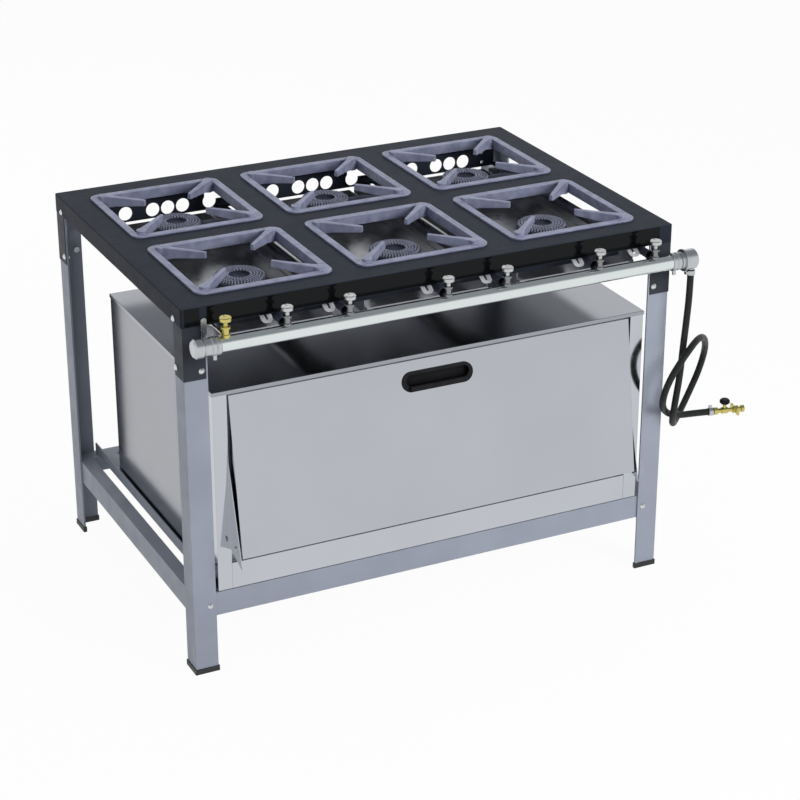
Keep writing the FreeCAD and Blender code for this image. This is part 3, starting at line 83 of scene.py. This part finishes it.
# Node graph of one finish
class Graph:
    def __init__(self, name):
        self.material = bpy.data.materials.new(name)
        self.material.use_nodes = True
        self.tree = self.material.node_tree
        self.tree.nodes.clear()
        self.output = self.add("ShaderNodeOutputMaterial")
        self.shader = self.add("ShaderNodeBsdfPrincipled")
        self.link(self.shader.outputs["BSDF"], self.output.inputs["Surface"])
        self.place = self.add("ShaderNodeTexCoord").outputs["Object"]

    def add(self, kind, **settings):
        node = self.tree.nodes.new(kind)
        for name, setting in settings.items():
            setattr(node, name, setting)
        return node

    def link(self, start, end):
        self.tree.links.new(start, end)

    def set(self, **values):
        for name, number in values.items():
            self.shader.inputs[name.replace("_", " ")].default_value = number
        return self

    def noise(self, scale, octaves, stretch=(1, 1, 1)):
        mapping = self.add("ShaderNodeMapping")
        mapping.inputs["Scale"].default_value = stretch
        self.link(self.place, mapping.inputs["Vector"])
        texture = self.add("ShaderNodeTexNoise")
        texture.inputs["Scale"].default_value = scale
        texture.inputs["Detail"].default_value = octaves
        self.link(mapping.outputs["Vector"], texture.inputs["Vector"])
        return texture.outputs["Fac"]

    def spread(self, source, low, high, span=NOISE_SPAN):
        node = self.add("ShaderNodeMapRange")
        for name, number in zip(("From Min", "From Max", "To Min", "To Max"), (*span, low, high)):
            node.inputs[name].default_value = number
        self.link(source, node.inputs["Value"])
        return node.outputs["Result"]

    def shades(self, source, dark, light, span=SHADE_SPAN):
        ramp = self.add("ShaderNodeValToRGB")
        for element, place, colour in zip(ramp.color_ramp.elements, span, (dark, light)):
            element.position = place
            element.color = (*colour, 1)
        self.link(source, ramp.inputs["Fac"])
        return ramp.outputs["Color"]

    def rounded_normal(self, radius):
        edge = self.add("ShaderNodeBevel", samples=EDGE_SAMPLES)
        edge.inputs["Radius"].default_value = radius
        return edge.outputs["Normal"]

    # Lighter colour where the rounded normal turns away from the flat one: partly wear, partly a painted
    # highlight along the edges
    def worn_and_highlit_edges(self, source, colour, normal, share):
        flat = self.add("ShaderNodeNewGeometry").outputs["Normal"]
        match = self.add("ShaderNodeVectorMath", operation="DOT_PRODUCT")
        self.link(flat, match.inputs[0])
        self.link(normal, match.inputs[1])
        worn_and_highlit = self.spread(match.outputs["Value"], share, 0.0, EDGE_SPAN)
        mix = self.add("ShaderNodeMix", data_type="RGBA")
        mix.inputs["B"].default_value = (*colour, 1)
        self.link(worn_and_highlit, mix.inputs["Factor"])
        self.link(source, mix.inputs["A"])
        return mix.outputs["Result"]

    # Painted shade: the colour darkens in hollows and creases, where less light reaches
    def painted_hollow_shade(self, source):
        hollow = self.add("ShaderNodeAmbientOcclusion")
        hollow.inputs["Distance"].default_value = HOLLOW_SHADE_REACH
        self.link(source, hollow.inputs["Color"])
        return hollow.outputs["Color"]

    def colour(self, source):
        self.link(source, self.shader.inputs["Base Color"])

    def roughness(self, source, middle, drift):
        low, high = times(drift, middle)
        self.link(self.spread(source, low, high), self.shader.inputs["Roughness"])

    def bump(self, source, strength, relief, normal=None):
        node = self.add("ShaderNodeBump")
        node.inputs["Strength"].default_value = strength
        node.inputs["Distance"].default_value = relief
        self.link(source, node.inputs["Height"])
        if normal:
            self.link(normal, node.inputs["Normal"])
        self.link(node.outputs["Normal"], self.shader.inputs["Normal"])


# Height of fine relief in metres
FINE_RELIEF = 0.0002

# Paint: noises as scale per metre and octaves, drift as shares of the middle value, edge radius in metres
PAINT_CLOUD = (6.0, 4.0)
PAINT_SHEEN = (35.0, 3.0)
PAINT_GRAIN = (900.0, 2.0)
PAINT_SHADES = (0.94, 1.06)
PAINT_DRIFT = (0.85, 1.2)
PAINT_EDGE = 0.0012
# Lighter tone and share of the edges, for wear and a painted edge highlight
PAINT_EDGE_WEAR_HIGHLIGHT_TONE = 2.2
PAINT_EDGE_WEAR_HIGHLIGHT_SHARE = 0.5


def painted(name, colour, roughness, grain, gloss=0.5):
    graph = Graph(name).set(Specular_IOR_Level=gloss)
    cloud = graph.noise(*PAINT_CLOUD)
    normal = graph.rounded_normal(PAINT_EDGE)
    dark, light = (times(colour, share) for share in PAINT_SHADES)
    paint = graph.shades(cloud, dark, light)
    # Edges lighter from wear and a painted highlight
    graph.colour(graph.worn_and_highlit_edges(paint, times(colour, PAINT_EDGE_WEAR_HIGHLIGHT_TONE), normal, PAINT_EDGE_WEAR_HIGHLIGHT_SHARE))
    graph.roughness(graph.noise(*PAINT_SHEEN), roughness, PAINT_DRIFT)
    graph.bump(graph.noise(*PAINT_GRAIN), grain, FINE_RELIEF, normal)
    return graph.material


# Bare metal, brushed by a stretched noise
METAL_CLOUD = (4.0, 3.0)
METAL_OCTAVES = 4.0
METAL_SHADES = (0.98, 1.02)
METAL_EDGE = 0.0008


def bright_metal(name, colour, roughness, stretch=(1, 1, 1), grain=0.03, scale=60.0, vary=0.28,
                 metallic=1.0):
    graph = Graph(name).set(Metallic=metallic)
    cloud = graph.noise(*METAL_CLOUD)
    dark, light = (times(colour, share) for share in METAL_SHADES)
    graph.colour(graph.shades(cloud, dark, light))
    brushed = graph.noise(scale, METAL_OCTAVES, stretch)
    graph.roughness(brushed, roughness, (1 - vary, 1 + vary))
    graph.bump(brushed, grain, FINE_RELIEF, graph.rounded_normal(METAL_EDGE))
    return graph.material


# Rough cast iron, lighter along its edges from wear and a painted edge highlight
CAST_MOTTLE = (45.0, 5.0)
CAST_SHEEN = (120.0, 3.0)
CAST_GRAIN = (420.0, 5.0)
CAST_DRIFT = (0.85, 1.15)
CAST_GLOSS = 0.45
CAST_RELIEF = 0.0006
CAST_EDGE = 0.0035
# Lighter tone and share of the edges, for wear and a painted edge highlight
CAST_EDGE_WEAR_HIGHLIGHT_TONE = 1.6
CAST_EDGE_WEAR_HIGHLIGHT_SHARE = 0.9


def cast(name, dark, light, roughness, grain):
    graph = Graph(name).set(Specular_IOR_Level=CAST_GLOSS)
    mottle = graph.noise(*CAST_MOTTLE)
    normal = graph.rounded_normal(CAST_EDGE)
    iron = graph.shades(mottle, dark, light, NOISE_SPAN)
    # Edges lighter from wear and a painted highlight
    graph.colour(graph.worn_and_highlit_edges(iron, times(light, CAST_EDGE_WEAR_HIGHLIGHT_TONE), normal, CAST_EDGE_WEAR_HIGHLIGHT_SHARE))
    graph.roughness(graph.noise(*CAST_SHEEN), roughness, CAST_DRIFT)
    graph.bump(graph.noise(*CAST_GRAIN), grain, CAST_RELIEF, normal)
    return graph.material


# Plastic and rubber, with painted shade darkening their hollows
PLASTIC_CLOUD = (30.0, 3.0)
PLASTIC_SHEEN = (80.0, 3.0)
PLASTIC_GRAIN = (1500.0, 2.0)
PLASTIC_SHADES = (0.85, 1.2)
PLASTIC_DRIFT = (0.85, 1.2)


def plastic(name, colour, roughness, grain=0.05, gloss=0.5):
    graph = Graph(name).set(Specular_IOR_Level=gloss)
    dark, light = (times(colour, share) for share in PLASTIC_SHADES)
    # Colour darkened by painted shade in the hollows
    graph.colour(graph.painted_hollow_shade(graph.shades(graph.noise(*PLASTIC_CLOUD), dark, light)))
    graph.roughness(graph.noise(*PLASTIC_SHEEN), roughness, PLASTIC_DRIFT)
    graph.bump(graph.noise(*PLASTIC_GRAIN), grain, FINE_RELIEF)
    return graph.material


# Brushing of the sheets: drawn out along the sheet, across the lid and along the pipe
SHEET_BRUSH = dict(stretch=(0.02, 0.02, 1), grain=0.006, scale=400.0)
INSIDE_BRUSH = dict(stretch=(0.02, 0.02, 1), grain=0.03, scale=300.0)
LID_BRUSH = dict(stretch=(0.02, 1, 1), grain=0.0006, scale=300.0, vary=0.08)
PIPE_BRUSH = dict(stretch=(0.05, 1, 1), grain=0.015)

FINISHES = {
    "plate_enamel": (painted, dict(
        colour=(0.0225, 0.0268, 0.0380), roughness=0.30, grain=0.012, gloss=0.015)),
    "bracket_enamel": (painted, dict(
        colour=(0.0400, 0.0440, 0.0540), roughness=0.34, grain=0.05, gloss=0.05)),
    "strip_gloss": (painted, dict(colour=(0.0030, 0.0034, 0.0040), roughness=0.07, grain=0.0, gloss=0.14)),
    "frame_paint": (painted, dict(colour=(0.285, 0.311, 0.374), roughness=0.42, grain=0.05, gloss=0.35)),
    "foot_plastic": (plastic, dict(colour=(0.02, 0.02, 0.022), roughness=0.55)),
    "bolt_chrome": (bright_metal, dict(colour=(0.66, 0.67, 0.69), roughness=0.34)),
    "grate_iron": (cast, dict(
        dark=(0.158, 0.172, 0.250), light=(0.262, 0.280, 0.395), roughness=0.42, grain=0.25)),
    # The crown teeth take a lighter copy of the burner iron: a painted highlight on their tops, with the
    # darker burner casting below as painted shade in the gaps
    "burner_iron": (cast, dict(
        dark=(0.018, 0.020, 0.034), light=(0.050, 0.054, 0.084), roughness=0.55, grain=0.6)),
    "crown_iron": (cast, dict(
        dark=(0.119, 0.126, 0.183), light=(0.272, 0.285, 0.374), roughness=0.5, grain=0.4)),
    "tray_sheet": (bright_metal, dict(colour=(0.285, 0.295, 0.317), roughness=0.20, metallic=0.85)),
    "manifold_chrome": (bright_metal, dict(colour=(0.70, 0.75, 0.75), roughness=0.17, **PIPE_BRUSH)),
    "tap_chrome": (bright_metal, dict(colour=(0.25, 0.255, 0.26), roughness=0.12)),
    "fitting_zinc": (bright_metal, dict(colour=(0.52, 0.54, 0.56), roughness=0.30)),
    "shutter_chrome": (painted, dict(colour=(0.70, 0.71, 0.73), roughness=0.32, grain=0.03)),
    "knob_metal": (bright_metal, dict(colour=(0.56, 0.57, 0.57), roughness=0.28)),
    "knob_plastic": (plastic, dict(colour=(0.014, 0.014, 0.016), roughness=0.42, gloss=0.06)),
    "fitting_brass": (bright_metal, dict(colour=(0.60, 0.52, 0.17), roughness=0.28)),
    "feed_metal": (bright_metal, dict(colour=(0.58, 0.59, 0.61), roughness=0.28)),
    "oven_steel": (bright_metal, dict(colour=(0.455, 0.475, 0.51), roughness=0.10, **SHEET_BRUSH)),
    "front_steel": (bright_metal, dict(colour=(0.505, 0.525, 0.565), roughness=0.10, **SHEET_BRUSH)),
    "lid_steel": (bright_metal, dict(colour=(0.335, 0.35, 0.38), roughness=0.15, **LID_BRUSH)),
    "shell_steel": (bright_metal, dict(colour=(0.285, 0.298, 0.325), roughness=0.15, **SHEET_BRUSH)),
    "oven_inside": (bright_metal, dict(colour=(0.42, 0.43, 0.45), roughness=0.36, **INSIDE_BRUSH)),
    "hose_rubber": (plastic, dict(colour=(0.014, 0.015, 0.015), roughness=0.5, grain=0.2, gloss=0.2)),
}
MATERIALS = {name: make(name, **settings) for name, (make, settings) in FINISHES.items()}

# Nodes whose finish differs a little from the rest of their slot
SPECIAL_FINISH = {
    "oven_shell": "shell_steel", "oven_lid": "lid_steel", "oven_front_frame": "front_steel",
    "manifold_fittings": "fitting_zinc", "inlet_elbow": "fitting_zinc", "hose_clamps": "fitting_zinc",
    "tap_bodies": "tap_chrome", "wing_nut": "fitting_brass", "corner_brackets": "bracket_enamel",
}

# Finish of every carried-over solid
for entry in frame["record"]["subparts"]:
    finish = SPECIAL_FINISH.get(entry["node"], entry["material_slot"])
    shown = nodes[entry["node"]]
    shown.data.materials.clear()
    shown.data.materials.append(MATERIALS[finish])


# Adds one of the scene's own pieces, carried by the stove
def add_piece(name, data):
    piece = bpy.data.objects.new(name, data)
    bpy.context.collection.objects.link(piece)
    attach(piece, "stove")
    return piece


# Closed skin over a stack of rings with equal numbers of points
def skin(made, rings):
    made.faces.new(rings[-1])
    made.faces.new(rings[0][::-1])
    for lower, upper in zip(rings, rings[1:]):
        for first in range(len(lower)):
            second = (first + 1) % len(lower)
            made.faces.new((lower[first], lower[second], upper[second], upper[first]))


def finished_mesh(name, made, finish):
    mesh = bpy.data.meshes.new(name)
    made.to_mesh(mesh)
    made.free()
    mesh.materials.append(MATERIALS[finish])
    return mesh


def corners(left, low, right, high):
    return [(left, low), (right, low), (right, high), (left, high)]


# Rows of cast teeth on the burner crowns: inner radius, outer radius and turn in pitches
CROWN_ROWS = [
    (0.0225, 0.0277, 0.0), (0.0299, 0.0338, 0.5), (0.0361, 0.0400, 0.25), (0.0423, 0.0463, 0.75),
    (0.0487, 0.0534, 0.5),
]
TOOTH_PITCH = 0.0066
TOOTH_FILL = 0.46
TOOTH_HEIGHT = 0.0024
TOOTH_SINK = 0.0007
TOOTH_TAPER = 0.7

# Profile of the burner's top face: radius, and height below its highest ring
CROWN_SLOPES = [(0.025, -0.001), (0.029, 0.0), (0.049, -0.001), (0.055, -0.006)]


def crown_level(radius):
    for (near, start), (far, end) in zip(CROWN_SLOPES, CROWN_SLOPES[1:]):
        if radius <= far:
            return start + (end - start) * max(radius - near, 0.0) / (far - near)
    return CROWN_SLOPES[-1][1]


def crown_mesh():
    made = bmesh.new()
    for inner, outer, shift in CROWN_ROWS:
        middle = (inner + outer) / 2
        teeth = round(math.tau * middle / TOOTH_PITCH)
        pitch = math.tau / teeth
        half_length = (outer - inner) / 2
        half_width = middle * pitch * TOOTH_FILL / 2
        for count in range(teeth):
            turn = Matrix.Rotation((count + shift) * pitch, 4, "Z")
            rings = []
            for rise, shrink in ((-TOOTH_SINK, 1.0), (TOOTH_HEIGHT, TOOTH_TAPER)):
                ring = []
                for along, across in corners(-1, -1, 1, 1):
                    radius = middle + along * half_length * shrink
                    corner = Vector((radius, across * half_width * shrink, crown_level(radius) + rise))
                    ring.append(made.verts.new(turn @ corner))
                rings.append(ring)
            skin(made, rings)
    # Teeth in the lighter copy of the burner iron, a painted highlight on their tops
    return finished_mesh("burner_crown", made, "crown_iron")


def burner_crowns():
    mesh = crown_mesh()
    for row in ("front", "back"):
        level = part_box(f"{row}_burners")[1][2]
        for column in COLUMNS:
            low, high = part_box(f"grate_{row}_{column}")
            crown = add_piece(f"crown_{row}_{column}", mesh)
            crown.location = ((low[0] + high[0]) / 2, (low[1] + high[1]) / 2, level)


burner_crowns()

# Gloss strip along the front skirt of the plate, left open where the pipe strap lies on the skirt
STRIP_SPANS = [(-0.5565, -0.5245), (-0.5095, 0.5320)]
STRIP_MARGIN = 0.0012
STRIP_GAUGE = 0.0005
STRIP_EDGE = 0.0003


def front_strip():
    plate_low, plate_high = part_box("top_plate")
    low, high = plate_low[2] + STRIP_MARGIN, plate_high[2] - STRIP_MARGIN
    back = plate_low[1]
    front = back - STRIP_GAUGE
    made = bmesh.new()
    for left, right in STRIP_SPANS:
        rings = []
        for depth, inset in ((back, 0.0), (front + STRIP_EDGE, 0.0), (front, STRIP_EDGE)):
            outline = corners(left + inset, low + inset, right - inset, high - inset)
            rings.append([made.verts.new((x, depth, z)) for x, z in outline])
        skin(made, rings)
    bmesh.ops.recalc_face_normals(made, faces=made.faces)
    add_piece("front_strip", finished_mesh("front_strip", made, "strip_gloss"))


front_strip()

HOLE_SIDES = 24


# Flat strip of sheet drawn in a plane, with round holes given as place and radius
def sheet_strip(name, outline, holes, gauge):
    curve = bpy.data.curves.new(name, "CURVE")
    curve.dimensions = "2D"
    curve.fill_mode = "BOTH"
    curve.extrude = gauge / 2
    rings = [outline]
    angles = [math.tau * step / HOLE_SIDES for step in range(HOLE_SIDES)]
    for x, y, radius in holes:
        rings.append([(x + radius * math.cos(angle), y + radius * math.sin(angle)) for angle in angles])
    for ring in rings:
        spline = curve.splines.new("POLY")
        spline.points.add(len(ring) - 1)
        spline.use_cyclic_u = True
        for point, (x, y) in zip(spline.points, ring):
            point.co = (x, y, 0, 1)
    curve.materials.append(MATERIALS["plate_enamel"])
    return add_piece(name, curve)


# Turned-out flanges along the webs of the tray runners, between the two support panels
RUNNER_REACH = 0.1433
FLANGE_WIDTH = 0.031
FLANGE_GAUGE = 0.0015


def tray_flanges():
    low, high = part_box("tray_runners")
    for column in COLUMNS:
        tray_low, tray_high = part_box(f"drip_tray_{column}")
        middle = (tray_low[0] + tray_high[0]) / 2
        for side, sign in SIDES.items():
            near = middle + sign * RUNNER_REACH
            far = near + sign * FLANGE_WIDTH
            outline = corners(min(near, far), low[1], max(near, far), high[1])
            flange = sheet_strip(f"tray_flange_{column}_{side}", outline, [], FLANGE_GAUGE)
            flange.location.z = high[2] - FLANGE_GAUGE / 2


tray_flanges()

# Drilled end plates that carry the back panel on to the corners, with holes measured from the panel
PANEL_GAUGE = 0.002
EAR_WIDTH = 0.050
EAR_HOLE_IN = 0.019
EAR_HOLE_RISES = (0.0115, 0.0355)
EAR_HOLE_RADIUS = 0.004


def panel_ears():
    low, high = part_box("support_panels")
    for side, sign in SIDES.items():
        near = sign * high[0]
        far = near + sign * EAR_WIDTH
        holes = [(near + sign * EAR_HOLE_IN, low[2] + rise, EAR_HOLE_RADIUS) for rise in EAR_HOLE_RISES]
        outline = corners(min(near, far), low[2], max(near, far), high[2] - PANEL_GAUGE)
        ear = sheet_strip(f"panel_ear_{side}", outline, holes, PANEL_GAUGE)
        ear.rotation_euler.x = math.radians(90)
        ear.location.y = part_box("tray_runners")[1][1] + PANEL_GAUGE / 2


panel_ears()

# Hose route in metres, as steps from the outlet of the inlet elbow
HOSE_OUTLET = Vector((0.586, -0.40275, 0.734))
HOSE_ROUTE = [
    (0, 0, 0), (0, 0, -0.057), (-0.0025, 0.0025, -0.121), (-0.001, 0.0125, -0.1885),
    (-0.0065, 0.010, -0.2515), (-0.020, 0.0035, -0.3135), (-0.0045, 0.0365, -0.3865),
    (0.059, 0.1115, -0.4095), (0.1125, 0.148, -0.371), (0.139, 0.1485, -0.3155),
    (0.1315, 0.1165, -0.241), (0.048, 0.017, -0.166), (-0.020, -0.0225, -0.193),
    (-0.057, -0.0255, -0.241), (-0.0605, -0.0055, -0.2985), (-0.022, 0.0405, -0.350),
    (0.021, 0.059, -0.375), (0.072, 0.061, -0.380), (0.116, 0.051, -0.380),
]
HOSE_DIAMETER = 0.015
HOSE_ROUNDNESS = 6
HOSE_STEPS = 10


# Gas hose on one smooth line
def hose():
    curve = bpy.data.curves.new("gas_hose_line", "CURVE")
    curve.dimensions = "3D"
    curve.bevel_depth = HOSE_DIAMETER / 2
    curve.bevel_resolution = HOSE_ROUNDNESS
    curve.resolution_u = HOSE_STEPS
    curve.use_fill_caps = True
    spline = curve.splines.new("NURBS")
    spline.points.add(len(HOSE_ROUTE) - 1)
    for point, step in zip(spline.points, HOSE_ROUTE):
        point.co = (*(HOSE_OUTLET + Vector(step)), 1)
    spline.order_u = 3
    spline.use_endpoint_u = True
    curve.materials.append(MATERIALS["hose_rubber"])
    line = add_piece("rubber_hose", curve)
    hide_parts("gas_hose")


hose()

# Pale floor that keeps a trace of shadow, half its width and its drop below the feet in metres
FLOOR_COLOUR = (0.8, 0.8, 0.8, 1)
FLOOR_GLOW = 0.96
FLOOR_HALF = 12.0
FLOOR_DROP = 0.0005


# One for rays that show the floor to the eye, in metal or through glass
def seen_white(tree):
    path = tree.nodes.new("ShaderNodeLightPath")
    total = path.outputs["Is Camera Ray"]
    for name in ("Is Glossy Ray", "Is Transmission Ray"):
        either = tree.nodes.new("ShaderNodeMath")
        either.operation = "MAXIMUM"
        tree.links.new(total, either.inputs[0])
        tree.links.new(path.outputs[name], either.inputs[1])
        total = either.outputs[0]
    return total


def floor_material():
    material = bpy.data.materials.new("pale_floor")
    material.use_nodes = True
    tree = material.node_tree
    tree.nodes.clear()
    output = tree.nodes.new("ShaderNodeOutputMaterial")
    matt = tree.nodes.new("ShaderNodeBsdfDiffuse")
    matt.inputs["Color"].default_value = FLOOR_COLOUR
    glow = tree.nodes.new("ShaderNodeEmission")
    glow.inputs["Color"].default_value = WHITE
    share = tree.nodes.new("ShaderNodeMath")
    share.operation = "MULTIPLY"
    share.inputs[1].default_value = FLOOR_GLOW
    tree.links.new(seen_white(tree), share.inputs[0])
    mix = tree.nodes.new("ShaderNodeMixShader")
    tree.links.new(share.outputs[0], mix.inputs[0])
    tree.links.new(matt.outputs[0], mix.inputs[1])
    tree.links.new(glow.outputs[0], mix.inputs[2])
    tree.links.new(mix.outputs[0], output.inputs["Surface"])
    return material


def floor():
    mesh = bpy.data.meshes.new("floor")
    outline = corners(-FLOOR_HALF, -FLOOR_HALF, FLOOR_HALF, FLOOR_HALF)
    mesh.from_pydata([(x, y, 0) for x, y in outline], [], [(0, 1, 2, 3)])
    mesh.materials.append(floor_material())
    ground = bpy.data.objects.new("floor", mesh)
    ground.location.z = -FLOOR_DROP
    bpy.context.collection.objects.link(ground)


floor()

# White to the eye; metal sees white low down, which turns grey between two heights of the sky
SKY_COLOUR = (0.95, 0.97, 1.0, 1)
SKY_STRENGTH = 0.33
DOME_WHITE, DOME_GREY = 0.44, 0.70
DOME_COLOUR = (0.30, 0.315, 0.33, 1)


def world():
    made = bpy.data.worlds.new("studio")
    made.use_nodes = True
    tree = made.node_tree
    tree.nodes.clear()
    output = tree.nodes.new("ShaderNodeOutputWorld")
    soft = tree.nodes.new("ShaderNodeBackground")
    soft.inputs["Color"].default_value = SKY_COLOUR
    soft.inputs["Strength"].default_value = SKY_STRENGTH
    white = tree.nodes.new("ShaderNodeBackground")
    white.inputs["Color"].default_value = WHITE
    dome = tree.nodes.new("ShaderNodeBackground")
    place = tree.nodes.new("ShaderNodeTexCoord")
    parts = tree.nodes.new("ShaderNodeSeparateXYZ")
    ramp = tree.nodes.new("ShaderNodeValToRGB")
    ramp.color_ramp.elements[0].position = DOME_WHITE
    ramp.color_ramp.elements[0].color = WHITE
    ramp.color_ramp.elements[1].position = DOME_GREY
    ramp.color_ramp.elements[1].color = DOME_COLOUR
    tree.links.new(place.outputs["Generated"], parts.inputs[0])
    tree.links.new(parts.outputs["Z"], ramp.inputs["Fac"])
    tree.links.new(ramp.outputs["Color"], dome.inputs["Color"])
    path = tree.nodes.new("ShaderNodeLightPath")
    seen = soft.outputs[0]
    for name, source in (("Is Glossy Ray", dome), ("Is Transmission Ray", white), ("Is Camera Ray", white)):
        mix = tree.nodes.new("ShaderNodeMixShader")
        tree.links.new(path.outputs[name], mix.inputs[0])
        tree.links.new(seen, mix.inputs[1])
        tree.links.new(source.outputs[0], mix.inputs[2])
        seen = mix.outputs[0]
    tree.links.new(seen, output.inputs["Surface"])
    bpy.context.scene.world = made


world()

# Lamps: place, aim and size in metres, power in watts
LAMPS = {
    "key_light": ((1.8, -3.6, 2.5), (0, 0, 0.6), (2.2, 1.8), 140),
    "fill_light": ((-2.8, -2.4, 2.4), (0, 0, 0.5), (2.0, 2.0), 14),
    "back_light": ((-1.2, 3.8, 2.2), (0, 0, 0.5), (2.4, 1.6), 45),
    "top_light": ((0.2, 0.6, 3.6), (0, 0, 0.8), (2.4, 2.0), 26),
}


def area_light(name, place, aim, size, power):
    lamp = bpy.data.lights.new(name, "AREA")
    lamp.shape = "RECTANGLE"
    lamp.size, lamp.size_y = size
    lamp.energy = power
    holder = bpy.data.objects.new(name, lamp)
    holder.location = place
    holder.rotation_euler = (Vector(aim) - Vector(place)).to_track_quat("-Z", "Y").to_euler()
    holder.visible_glossy = False
    bpy.context.collection.objects.link(holder)


for name, (place, aim, size, power) in LAMPS.items():
    area_light(name, place, aim, size, power)

camera = bpy.data.cameras.new("camera")
camera.lens = CAMERA_LENS
camera.sensor_width = CAMERA_SENSOR
eye = bpy.data.objects.new("camera", camera)
eye.location = CAMERA_PLACE
eye.rotation_euler = (math.radians(90 - CAMERA_PITCH), 0, math.radians(-CAMERA_YAW))
bpy.context.collection.objects.link(eye)
bpy.context.scene.camera = eye
bpy.context.scene.view_settings.view_transform = "Standard"
